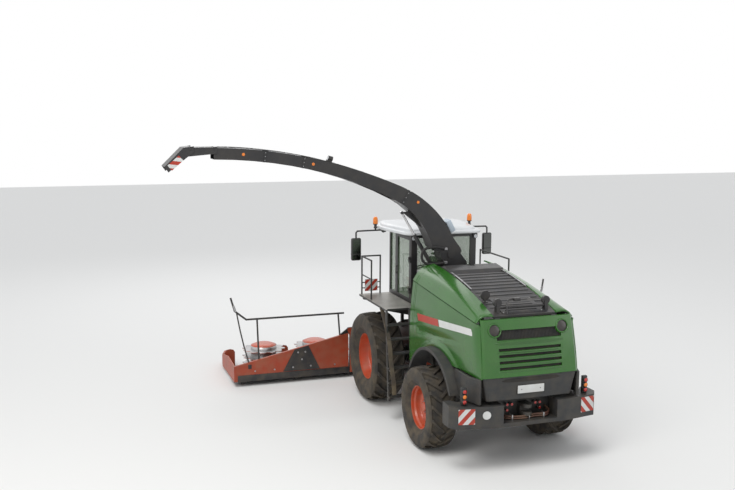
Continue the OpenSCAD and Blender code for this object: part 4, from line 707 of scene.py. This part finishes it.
def side_ring(y, drawn=0.0, shell=0.024):
    """Section of a side panel at one station, drawn in by a distance: outer line down, inner line back."""
    outer = side_line(y)
    return [p - Vector((drawn, 0, 0)) for p in outer] + [p - Vector((shell, 0, 0)) for p in reversed(outer)]


for side_name, side in hands:
    panel = bmesh.new()
    y0, y1 = hood_front + 0.02, hood_rear
    fine = [2.02 + 0.02 * i for i in range(9)] + [3.9 + 0.04 * i for i in range(7)]
    even = [mix(y0, y1, i / 44) for i in range(1, 44)]
    ys = sorted({round(v, 4) for v in [y0, y0 + 0.004, y1 - 0.004, y1, *fine, *even]})
    for a, b in ((y0, seams[0] - 0.004), (seams[0] + 0.004, seams[1] - 0.004), (seams[1] + 0.004, y1)):
        run = [a, a + 0.004] + [y for y in ys if a + 0.01 < y < b - 0.01] + [b - 0.004, b]
        skinned(panel, [side_ring(y, 0.004 if y in (a, b) else 0.0) for y in run],
                place=None if side > 0 else Matrix.Scale(-1, 4, (1, 0, 0)))
    fitted(f"side_panel_{side_name}", panel, [green], f"hood_side_{side_name}",
           [f"hood_side_{side_name}"], angle=40)

# Side bands: glossy self-adhesive film on each side panel, red in front and white behind. A slanted line
# parts them, and they rise with the panel's shelf.
for side_name, side in hands:
    band = bmesh.new()
    for finish, t0, t1 in ((0, 0.0, 0.435), (1, 0.445, 1.0)):
        part = bmesh.new()
        bmesh.ops.create_grid(part, x_segments=24, y_segments=6, size=0.5)
        for v in part.verts:
            across = v.co.y + 0.5
            t = mix(t0, t1, v.co.x + 0.5) + 0.035 * (0.5 - across)
            t = min(1, t) if finish else t
            y = mix(2.06, 4.30, t)
            z = mix(mix(2.16, 2.375, t), mix(2.295, 2.49, t), across)
            x, along = rear_turn(y, z, side_surface(y, z))
            v.co = (side * (x + 0.0012), along, z)
        added(band, part, finish)
    fitted(f"side_band_{side_name}", band, [film_red, plate_white], f"hood_side_{side_name}")

# Deck: louvred black plastic with plain pads front and rear, screwed down between the shoulders. Bright
# steel strips cover its edges, and a black steel cradle for the parked spout is bolted to its rear.
deck_black = painted("deck_black", (0.030, 0.030, 0.033), 0.34, mottle=0.15, bump=0.10, dust=0.35)
softened("hood_deck", [deck_black], "root", 0.004)
strips = bmesh.new()
for x in (-1, 1):
    for a, b in ((2.16, 2.62), (2.66, 3.06), (3.08, 3.42)):
        rings = []
        for i in range(7):
            y = mix(a, b, i / 6)
            edge_x, edge_z = deck_edge(y)
            rings.append([(x * (edge_x - inset), y, edge_z + up)
                          for inset, up in ((0.052, 0.001), (0.020, 0.001), (0.020, 0.013), (0.052, 0.013))])
        skinned(strips, rings)
fitted("deck_strips", strips, [bright_steel], "root", bevel=0.002)
softened("spout_rest", [cab_black], "root", 0.004)

# Deck fittings: each louvre has a lighter strip of painted highlight on its ridge and a near-black strip of
# painted shade in its groove. A slotted cover is screwed over the cooler's outlet, its slots near-black strips of
# painted shade; a bent pipe is clamped to the spout's cradle, and a round flap stands at the deck's left edge.
# near-black: the elbow hose's rubber, and painted shade in the deck's louvre grooves and cover slots
hose_rubber_and_painted_shade = painted("hose_rubber_and_painted_shade", (0.012, 0.012, 0.013), 0.7, mottle=0.1, dust=0.1)
# lighter grey: a painted highlight along each louvre's ridge
louvre_painted_highlight = painted("louvre_painted_highlight", (0.13, 0.13, 0.135), 0.30, mottle=0.4, dust=0.2)
louvres_front, louvres_rear, louvres = 2.52, 4.18, 11
louvre_step = (louvres_rear - louvres_front) / louvres
deck_solid = bmesh.new()
deck_solid.from_mesh(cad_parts["hood_deck"].data)
deck_tree = BVHTree.FromBMesh(deck_solid)
deck_solid.free()


def deck_z(x, y):
    """Height of the deck's top at a place."""
    return deck_tree.ray_cast(Vector((x, y, 6)) + zero, Vector((0, 0, -1)))[0].z - zero.z


fittings = bmesh.new()
# each louvre: a lighter strip of painted highlight on its ridge, a near-black strip of painted shade in its groove
for i in range(louvres):
    for along, half, lift, finish in ((0.8, 0.006, 0.003, 3), (0.97, 0.011, 0.002, 1)):
        y = louvres_front + (i + along) * louvre_step
        reach = deck_edge(y)[0] - 0.062
        y0, y1 = y - half, y + half
        z0, z1 = deck_z(0, y0), deck_z(0, y1)
        skinned(fittings, [[(x, y0, z0 - 0.002), (x, y0, z0 + lift), (x, y1, z1 + lift), (x, y1, z1 - 0.002)]
                           for x in (-reach, 0, reach)], finish)
cover_section = ((-0.40, 0.001), (0.40, 0.001), (0.40, 0.010), (-0.40, 0.010))
cover_ys = [mix(3.86, 4.40, i / 10) for i in range(11)]
skinned(fittings, [[(x, y, deck_z(0.2, y) + h) for x, h in cover_section] for y in cover_ys])
# the slots are near-black strips laid on the cover, not openings: painted shade
for i in range(5):
    y = 3.95 + 0.085 * i
    z = deck_z(0.2, y) + 0.0095
    boxed(fittings, (-0.31, y - 0.016, z - 0.008), (0.31, y + 0.016, z + 0.0035), 1, 0.003)
for x in (-0.37, 0.37):
    for y in (3.90, 4.36):
        rod(fittings, (x, y, deck_z(x, y)), (x, y, deck_z(x, y) + 0.016), 0.014, finish=2, sides=6)
# pipe with its clamp
tube(fittings, [(0.32, 4.40, deck_z(0.32, 4.40)), (0.315, 4.36, 2.86), (0.29, 4.32, 2.93), (0.23, 4.295, 2.965),
                (0.13, 4.285, 2.972)], 0.014, 0, 12)
boxed(fittings, (0.03, 4.255, 2.93), (0.15, 4.335, 2.985), 0, 0.010)
# flap on its stem
foot = deck_z(0.53, 3.95)
rod(fittings, (0.53, 3.95, foot - 0.01), (0.53, 3.95, foot + 0.10), 0.022)
boxed(fittings, (0.49, 3.91, foot - 0.005), (0.57, 3.99, foot + 0.014), 0, 0.005)
for half, r in ((0.015, 0.088), (0.020, 0.070)):
    rod(fittings, (0.53, 3.95 - half, foot + 0.125), (0.53, 3.95 + half, foot + 0.125), r, sides=40)
fitted("deck_fittings", fittings, [deck_black, hose_rubber_and_painted_shade, bright_steel, louvre_painted_highlight], "root", angle=35)

# Rear flap: a pressed steel panel, sprayed green, hinged at its top, with two lamps, an opening and four slots.
# A ledge is pressed out over the slots, and black wire mesh and a screen close them from behind.
red_lens = painted("red_lens", (0.50, 0.012, 0.008), 0.15, coat=0.6, mottle=0.08, dust=0.08)
dark_lens = painted("dark_lens", (0.022, 0.017, 0.016), 0.30, coat=0.25, mottle=0.1, dust=0.1)
screen_black = painted("screen_black", (0.010, 0.010, 0.010), 0.75, mottle=0.3, grain=400, bump=0.6, dust=0.25)
flap_rise = 0.988


def flap_face(x, z):
    """Outer face of the rear flap at a place across and a height."""
    share = max(0, (z - flap_low) / flap_rise)
    half = 0.915 - 0.035 * share
    a = abs(x)
    y = flap_top_y + flap_lean * (1 - share ** 1.3)
    if a < half / 2:
        return y + 0.030 - 0.006 * a / (half / 2)
    if a < half - 0.04:
        return y + 0.024 - 0.016 * (a - half / 2) / (half / 2 - 0.04)
    return y + 0.008 - 0.038 * (a - half + 0.04) / 0.04


def ledge(bm, face, reach, z, rise, depth, finish=0):
    """A ledge pressed out of a face, flat on top and tapered to its ends and its foot."""
    rings = []
    for i in range(25):
        u = -1 + i / 12
        x = reach * u
        full = math.sqrt(max(0.0, 1 - abs(u) ** 5)) * 0.96 + 0.04
        top, foot = z + rise * full / 2, z - rise * full / 2
        y = face(x, z)
        rings.append([(x, y - 0.006, top), (x, y + depth * full * 0.8, top), (x, y + depth * full, top - 0.006),
                      (x, y + depth * full, top - 0.012), (x, face(x, foot) + 0.0015, foot), (x, y - 0.006, foot)])
    skinned(bm, rings, finish)


softened("rear_flap", [green], "rear_flap", 0.004)
pressing = bmesh.new()
ledge(pressing, flap_face, 0.66, 2.285, 0.075, 0.026)
for i in range(4):
    ledge(pressing, flap_face, 0.63, 1.814 + 0.105 * i, 0.034, 0.010 + 0.003 * i)
lamp_places = [placed((x, flap_face(x, 2.50), 2.50), -75, "X") for x in (-0.65, 0.65)]
for place in lamp_places:
    lathed(pressing, [(0.102, -0.03), (0.102, 0.012), (0.108, 0.019), (0.117, 0.019), (0.126, 0.008),
                      (0.130, -0.03)], 48, place)
fitted("flap_pressings", pressing, [green], "rear_flap", angle=40)

behind = bmesh.new()
for z0, z1 in ((1.79, 2.24), (2.31, 2.52)):
    section = ((z0, 0.034), (z0, 0.038), (z1, 0.038), (z1, 0.034))
    skinned(behind, [[(x, flap_face(x, z) - off, z) for z, off in section] for x in (-0.64, -0.3, 0, 0.3, 0.64)])
for i in range(46):
    x = -0.615 + 1.23 * i / 45
    rod(behind, (x, flap_face(x, 2.33) - 0.028, 2.33), (x, flap_face(x, 2.50) - 0.028, 2.50), 0.003, finish=1,
        sides=6)
for i in range(7):
    z = 2.343 + 0.024 * i
    y = flap_face(0.62, z) - 0.026
    rod(behind, (-0.62, y, z), (0.62, y, z), 0.0025, finish=1, sides=6)
for place in lamp_places:
    lathed(behind, [(0.0, -0.02), (0.0, 0.012), (0.05, 0.010), (0.088, 0.003), (0.103, -0.004), (0.103, -0.02)],
           40, place, 2)
fitted("flap_screens", behind, [screen_black, dark_paint, dark_lens], "rear_flap", angle=40)

# Hatch and skirt: the grey foot of the flap is moulded plastic with a screwed hatch, a number plate's holder
# with a blank plate, and a ledge. The skirt under it is bolted to the frame.
softened("rear_flap_skirt", [dark_paint], "rear_flap", 0.012)


def hatch_face(x, z):
    """Outer face of the hatch under the flap."""
    return 4.70 + 0.03 * (z - 1.29) / 0.42 + 0.020 - 0.022 * abs(x) / 0.86


hatch = bmesh.new()
ledge(hatch, hatch_face, 0.56, 1.645, 0.075, 0.004, 1)
ledge(hatch, hatch_face, 0.60, 1.695, 0.020, 0.009, 0)
for x in (-0.79, 0.79):
    for z in (1.40, 1.62):
        rod(hatch, (x, hatch_face(x, z) - 0.004, z), (x, hatch_face(x, z) + 0.004, z), 0.014)
plate_y = hatch_face(0, 1.47)
boxed(hatch, (-0.27, plate_y - 0.002, 1.388), (0.27, plate_y + 0.004, 1.552), 1, 0.003)
boxed(hatch, (-0.255, plate_y, 1.400), (0.255, plate_y + 0.006, 1.540), 2, 0.002)
for x in (-0.18, 0.18):
    rod(hatch, (x, plate_y, 1.47), (x, plate_y + 0.009, 1.47), 0.008, finish=1, sides=12)
fitted("hatch_trim", hatch, [dark_paint, screen_black, plate_white], "rear_flap", angle=35)
softened("rear_skirt", [dark_paint], "root", 0.008)

# Rear bumper: a heavy casting bolted across the frame's end, with a bay for the coupling. Two warning panels
# with slanted bands and a plain round sign are screwed to its swept back ends.
softened("rear_bumper", [dark_paint], "root", 0.012)
swept = 0.12 / 0.63


def on_bumper(x, z, off, turned):
    """A place on the bumper's rear face for a flat thing that stands off it and faces back or turned."""
    y = 4.76 - max(0, abs(x) - 0.70) * swept + off
    return placed((x, y, z), -turned * math.degrees(math.atan(swept)), "Z") @ rearward


panels = bmesh.new()
for side in (1, -1):
    warning_panel(panels, 0.29, 0.27, -side * 0.9, on_bumper(side * 1.175, 1.055, 0.0022, side))
fitted("bumper_panels", panels, [plate_white, film_red], "root", angle=20)
sign = bmesh.new()
place = on_bumper(0.83, 1.07, 0.001, 1)
lathed(sign, [(0.0, -0.002), (0.0, 0.0020), (0.074, 0.0020), (0.074, -0.002)], 48, place)
lathed(sign, [(0.074, -0.002), (0.074, 0.004), (0.084, 0.004), (0.084, -0.002)], 48, place, 1)
fitted("plain_round_sign", sign, [plate_white, cab_black], "root", angle=30)

# Tow bay: a forged hitch on the bay's floor, and steel hydraulic couplings that stand in its back wall. Two
# stiff rubber hoses lie in a curve under them, screwed in at one end and held by clips.
hose_brown = painted("hose_brown", (0.085, 0.030, 0.018), 0.6, mottle=0.25, dust=0.4)
softened("tow_hitch", [dark_paint], "root", 0.003)
bay = bmesh.new()
for x, z in ((0.33, 1.14), (0.24, 1.14), (-0.22, 1.13), (-0.31, 1.13), (0.33, 1.04), (-0.31, 1.03)):
    for y0, y1, r, finish, facets in ((4.419, 4.45, 0.026, 1, 6), (4.44, 4.50, 0.020, 0, 20),
                                      (4.50, 4.515, 0.024, 2, 20)):
        rod(bay, (x, y0, z), (x, y1, z), r, finish=finish, sides=facets)
for k, height in enumerate((0.925, 0.962)):
    line = curved([(0.44 - 0.03 * k, 4.47, height), (0.36, 4.60, height), (0.10, 4.66, height - 0.002),
                   (-0.16, 4.62, height), (-0.34, 4.66, height + 0.012), (-0.46, 4.56, height + 0.03),
                   (-0.47 + 0.03 * k, 4.44, height + 0.08)], 5)
    tube(bay, line, 0.017, 3)
    rod(bay, line[0] + Vector((0.004, -0.045, 0)), line[0], 0.022, sides=6)
for x, y in ((0.30, 4.615), (-0.02, 4.640), (-0.30, 4.640)):
    boxed(bay, (x - 0.012, y - 0.045, 0.900), (x + 0.012, y + 0.045, 0.996), 0, 0.004)
fitted("tow_bay_fittings", bay, [bright_steel, dark_paint, red_lens, hose_brown], "root", angle=35)

# Tail lamps: a dark plastic housing on each side, screwed to the bumper, with a rim round each lens. The
# three domed lenses are moulded plastic, red above and below and amber between.
stack_low, stack_high = corners("tail_lamps")
stack_x = stack_high.x - 0.05
stacks, reds, ambers = bmesh.new(), bmesh.new(), bmesh.new()
boxed(stacks, (stack_x - 0.05, stack_low.y, stack_low.z), (stack_x + 0.05, stack_high.y - 0.045, stack_high.z), 0,
      0.014)
for i in range(3):
    place = Matrix.Translation((stack_x, stack_high.y - 0.05, stack_low.z + 0.07 + 0.09 * i)) @ rearward
    lathed(stacks, [(0.036, 0.0), (0.036, 0.034), (0.039, 0.036), (0.043, 0.030), (0.046, 0.0)], 32, place)
    lathed(ambers if i == 1 else reds, [(0.0, 0.0), (0.0, 0.049), (0.014, 0.0475), (0.026, 0.043), (0.0355, 0.034),
                                        (0.0355, 0.0)], 32, place)
for bm, name, finish, slot, gone in ((stacks, "tail_lamp_housings", dark_paint, "dark_plastic", ["tail_lamps"]),
                                     (reds, "tail_lamp_reds", red_lens, "red_lens", []),
                                     (ambers, "tail_lamp_ambers", amber, "amber_lens", [])):
    mirrored(bm)
    fitted(name, bm, [finish], "root", gone, angle=40)

# Spout: a turned elbow and an arm of two bends, welded of black steel sheet and open below, with two hinged
# flaps at its end. The tilt cylinder's barrel stands on the elbow.
spout_y, spout_w = 1.42, 0.40
bend_r, sweep_r, start_slope, bend_a, end_slope = 1.92, 8.65, 68.0, 43.0, 0.5
bend_len = bend_r * math.radians(bend_a)
arm_len = bend_len + sweep_r * math.radians(start_slope - bend_a - end_slope)


def heading(degrees):
    """A unit vector in the arm's plane, at an angle over the machine's left."""
    return Vector((math.cos(math.radians(degrees)), 0, math.sin(math.radians(degrees))))


bend_c = Vector((0.33, spout_y, 3.58)) - bend_r * heading(start_slope + 90)
sweep_c = bend_c + (bend_r - sweep_r) * heading(start_slope - bend_a + 90)


def along_spout(s, out=0.0, across=0.0):
    """A point on the arm: a length along it, a distance outward from its back, and one across."""
    slope = start_slope - math.degrees(s / bend_r)
    centre, r = bend_c, bend_r
    if s > bend_len:
        slope = start_slope - bend_a - math.degrees((s - bend_len) / sweep_r)
        centre, r = sweep_c, sweep_r
    depth = 0.21 + 0.28 * (1 - s / arm_len) ** 4
    return centre + (r + depth / 2 + out) * heading(slope + 90) + Vector((0, across, 0)), slope, depth


def on_spout(s):
    """A place on the arm's back at a length along it, for a thing that stands on it, and the arm's depth."""
    top, slope, depth = along_spout(s)
    return placed(top, -slope, "Y"), depth


for node in ("spout_arm", "spout_flap_upper", "spout_flap_lower"):
    softened(node, [cab_black], node, 0.003)
dressed(cab_black, "spout_base", "tilt_barrel")

# Spout fittings: bolted joint frames, rails of light angle along both upper edges, and two steel pipes under
# clamped saddles. A round work lamp looks along the arm, flat pads lie by its joints, and amber reflectors
# are stuck to its rear side.
dressing = bmesh.new()
edge, plate = spout_w / 2, 0.008
for s in (1.27, 3.45, 4.20):
    place, depth = on_spout(s)
    boxed(dressing, (-0.022, -edge - plate, -0.004), (0.022, edge + plate, plate), 0, 0.002, place)
    for side in (-1, 1):
        y = side * (edge + plate / 2)
        boxed(dressing, (-0.022, y - plate / 2, -depth - 0.004), (0.022, y + plate / 2, plate), 0, 0.002, place)
        for k in range(3):
            z = -depth * (k + 0.5) / 3
            rod(dressing, (-0.008, side * (edge + plate), z), (-0.008, side * (edge + plate + 0.006), z), 0.009,
                finish=1, sides=6, place=place)
# rails and pipes
rail_section = ((0.0005, 0.0), (0.009, 0.0), (0.009, 0.030), (0.0005, 0.030))
for side in (-1, 1):
    for s0, s1, finish in ((0.30, 1.22, 0), (1.32, 3.38, 0), (3.52, 4.14, 1), (4.26, arm_len - 0.05, 1)):
        steps = max(3, int((s1 - s0) / 0.08))
        skinned(dressing, [[along_spout(mix(s0, s1, i / steps), out, side * (edge - inset))[0]
                            for out, inset in rail_section] for i in range(steps + 1)], finish)
for across in (-0.10, -0.06):
    tube(dressing, [along_spout(mix(0.35, arm_len - 0.10, i / 44), 0.012, across)[0] for i in range(45)],
         0.008, 2, 8)
for s in (0.6, 1.05, 1.6, 2.2, 2.8, 3.2, 3.75, 4.45, 4.85):
    boxed(dressing, (-0.018, -0.125, -0.002), (0.018, -0.035, 0.024), 1, 0.004, on_spout(s)[0])
# pads, lamp and reflectors
for s0, s1 in ((3.34, 3.62), (4.08, 4.40), (4.93, 5.10)):
    half = (s1 - s0) / 2
    boxed(dressing, (-half, 0.04, 0.0), (half, 0.19, 0.020), 0, 0.006, on_spout(s0 + half)[0])
place = on_spout(2.95)[0]
boxed(dressing, (-0.05, 0.05, 0.0), (0.05, 0.15, 0.045), 0, 0.008, place)
rod(dressing, (-0.055, 0.10, 0.075), (0.035, 0.10, 0.075), 0.050, sides=28, place=place)
rod(dressing, (0.034, 0.10, 0.075), (0.040, 0.10, 0.075), 0.043, finish=3, sides=28, place=place)
fitted("spout_dressing", dressing, [cab_black, bright_steel, dark_paint, lamp_glass], "spout_arm",
       angle=35)
reflectors = bmesh.new()
for s in (3.26, 1.0, 4.6):
    point = along_spout(s, -0.10, edge)[0]
    rod(reflectors, point - Vector((0, 0.002, 0)), point + Vector((0, 0.006, 0)), 0.028, sides=24)
fitted("spout_reflectors", reflectors, [amber], "spout_arm", angle=35)

# Spout's box and hose: a pale plastic case on two steel straps at the arm's foot, and a stiff rubber hose that
# loops out from the elbow and back. Clamps on the elbow's side hold the hose's screwed ends.
box_blue = painted("box_blue", (0.50, 0.58, 0.66), 0.4, mottle=0.06, dust=0.2)
place = on_spout(0.20)[0]
case = bmesh.new()
boxed(case, (-0.13, -0.12, 0.030), (0.13, 0.12, 0.150), 0, 0.018, place)
boxed(case, (-0.09, -0.09, 0.148), (0.09, 0.09, 0.156), 0, 0.004, place)
for k in (-0.09, 0.09):
    boxed(case, (k - 0.015, -0.13, -0.004), (k + 0.015, 0.13, 0.034), 1, 0.004, place)
fitted("spout_box", case, [box_blue, cab_black], "spout_arm", angle=35)
loop = bmesh.new()
loop_y = 1.672
turns = [math.radians(degrees) for degrees in range(0, 181, 15)]
tube(loop, [(0.28, loop_y, 3.47), (0.48, loop_y, 3.515)]
     + [(0.66 + 0.155 * math.sin(a), loop_y, 3.35 + 0.165 * math.cos(a)) for a in turns]
     + [(0.46, loop_y, 3.185), (0.28, loop_y, 3.20)], 0.026, 0, 14)
for z in (3.475, 3.198):
    rod(loop, (0.27, loop_y, z), (0.33, loop_y, z), 0.031, finish=1, sides=6)
    boxed(loop, (0.27, 1.60, z - 0.03), (0.32, loop_y, z + 0.03), 2, 0.005)
fitted("elbow_hose", loop, [hose_rubber_and_painted_shade, bright_steel, cab_black], "spout_base", angle=40)

# Header: welded steel tubes and sheet panels, painted orange-red with black beams, in a middle frame and two
# folding wings. Six rotors of bright steel turn on it, each with a red edge and cap.


def header_finish(p):
    """Which finish a face has by its place: sheet panels and snouts orange-red, beams, lugs and tubes black."""
    back = -1.681 < p.y < -1.619 and 0.262 < p.z < 1.09
    point = p.y < -3.03 and p.z > 0.055
    sheet = abs(p.x) > 3.93 and p.z < 0.53
    return 0 if back or point or sheet else 1


header_red = painted("header_red", (0.36, 0.050, 0.018), 0.42, mottle=0.18, dust=0.35)
softened("header_frame", [header_red, cab_black], "feeder", 0.003, choose=header_finish)
for wing_name, _ in hands:
    softened(f"header_wing_{wing_name}", [header_red, cab_black], f"wing_{wing_name}", 0.003,
             choose=header_finish)
for i in range(1, 7):
    rotor_low, rotor_high = corners(f"rotor_{i}")
    middle = (rotor_low + rotor_high) / 2

    def rotor_finish(p):
        """Red for the rotor's edge over its knives and for its cap, bright steel for the rest."""
        rim = math.hypot(p.x - middle.x, p.y - middle.y) > 0.303 and p.z > 0.25
        return 1 if rim or p.z > 0.728 else 0

    softened(f"rotor_{i}", [bright_steel, wheel_red], f"rotor_{i}", 0.0, choose=rotor_finish)

# Wing backs: a black steel bracket and a lower beam, bolted to the back of each wing. A hydraulic pipe curves
# down from the stalk guide's tube to a clamp, and has two steel couplings at its upper end.
for wing_name, side in hands:
    back = bmesh.new()
    bracket = ((1.98, 0.275), (2.85, 0.275), (2.58, 0.768), (2.25, 0.840))
    skinned(back, [[(x, y, z) for x, z in bracket] for y in (-1.6205, -1.608)])
    for x, z in ((2.20, 0.36), (2.62, 0.36), (2.33, 0.70), (2.50, 0.70), (2.41, 0.53)):
        rod(back, (x, -1.610, z), (x, -1.596, z), 0.022, finish=1, sides=6)
    for x in (1.62, 3.05, 3.50):
        rod(back, (x, -1.6205, 0.34), (x, -1.610, 0.34), 0.020, finish=1, sides=6)
    tube(back, [Vector(p) for p in ((3.86, -1.855, 1.662), (3.84, -1.80, 1.50), (3.80, -1.75, 1.25),
                                    (3.74, -1.70, 0.95), (3.68, -1.66, 0.70), (3.62, -1.64, 0.46))], 0.016)
    boxed(back, (1.262, -1.6205, 0.112), (3.90, -1.606, 0.262), 0, 0.004)
    boxed(back, (3.58, -1.665, 0.40), (3.66, -1.610, 0.50), 0, 0.006)
    for x, y, z in ((3.905, -1.862, 1.742), (3.925, -1.875, 1.80)):
        rod(back, (x - 0.02, y + 0.03, z - 0.05), (x, y + 0.03, z + 0.03), 0.020, finish=1, sides=10)
        boxed(back, (x - 0.03, y - 0.01, z - 0.03), (x + 0.01, y + 0.035, z), 0, 0.003)
    bmesh.ops.scale(back, verts=back.verts, vec=(side, 1, 1))
    fitted(f"wing_back_{wing_name}", back, [cab_black, bright_steel], f"wing_{wing_name}", angle=35)

# End board: a small sheet metal panel with slanted bands of film on the side of the spout's lower flap,
# screwed flat on it.
end_board = bmesh.new()
warning_panel(end_board, 0.27, 0.12, 0.9, placed((5.575, 1.6545, 5.255), 41, "Y") @ rearward)
fitted("end_board", end_board, [plate_white, film_red], "spout_flap_lower", angle=20)


# Stage: a plain pale floor two millimetres under the tyres, three soft lamps and a hazy sun. Whatever looks
# past the object sees plain white.
ground = bmesh.new()
bmesh.ops.create_grid(ground, x_segments=2, y_segments=2, size=60)
bmesh.ops.translate(ground, verts=ground.verts, vec=(0, 0, -0.002))
floor_mesh = bpy.data.meshes.new("floor")
ground.to_mesh(floor_mesh)
ground.free()
floor = bpy.data.objects.new("floor", floor_mesh)
bpy.context.scene.collection.objects.link(floor)
pale = bpy.data.materials.new("pale_floor")
pale.use_nodes = True
pale.node_tree.nodes["Principled BSDF"].inputs["Base Color"].default_value = (0.84, 0.84, 0.83, 1)
pale.node_tree.nodes["Principled BSDF"].inputs["Roughness"].default_value = 0.9
floor_mesh.materials.append(pale)


def lamp(name, place, aim, size, watts, colour=(1, 1, 1)):
    """A soft square lamp that looks at a point."""
    light = bpy.data.lights.new(name, "AREA")
    light.size = size
    light.energy = watts
    light.color = colour
    obj = bpy.data.objects.new(name, light)
    bpy.context.scene.collection.objects.link(obj)
    turn = (Vector(aim) - Vector(place)).to_track_quat("-Z", "Y")
    obj.matrix_world = Matrix.Translation(place) @ turn.to_matrix().to_4x4()


lamp("key", (11, 10, 12), (0, 1, 1.5), 7, 800, (1.0, 0.97, 0.92))
lamp("fill", (-12, 12, 8), (0, 1, 1), 9, 300)
lamp("front", (0, -14, 12), (0, 0, 1), 10, 350)
sun = bpy.data.lights.new("sun", "SUN")
sun.energy = 1.2
sun.angle = math.radians(25)
sky_lamp = bpy.data.objects.new("sun", sun)
bpy.context.scene.collection.objects.link(sky_lamp)
sky_lamp.matrix_world = Vector((-0.35, -0.25, -1)).to_track_quat("-Z", "Y").to_matrix().to_4x4()
world = bpy.data.worlds.new("studio")
bpy.context.scene.world = world
world.use_nodes = True
wn, wl = world.node_tree.nodes, world.node_tree.links
ambient = wn["Background"]
ambient.inputs["Color"].default_value = (0.95, 0.97, 1.0, 1)
ambient.inputs["Strength"].default_value = 0.45
seen = wn.new("ShaderNodeBackground")
seen.inputs["Color"].default_value = (1, 1, 1, 1)
seen.inputs["Strength"].default_value = 1.0
ray = wn.new("ShaderNodeLightPath").outputs
white_for = ray["Is Camera Ray"]
for kind in ("Is Transmission Ray", "Is Glossy Ray"):
    either = wn.new("ShaderNodeMath")
    either.operation = "MAXIMUM"
    wl.new(white_for, either.inputs[0])
    wl.new(ray[kind], either.inputs[1])
    white_for = either.outputs["Value"]
blend = wn.new("ShaderNodeMixShader")
wl.new(white_for, blend.inputs["Fac"])
wl.new(ambient.outputs["Background"], blend.inputs[1])
wl.new(seen.outputs["Background"], blend.inputs[2])
wl.new(blend.outputs["Shader"], wn["World Output"].inputs["Surface"])
bpy.context.scene.view_settings.view_transform = "Standard"
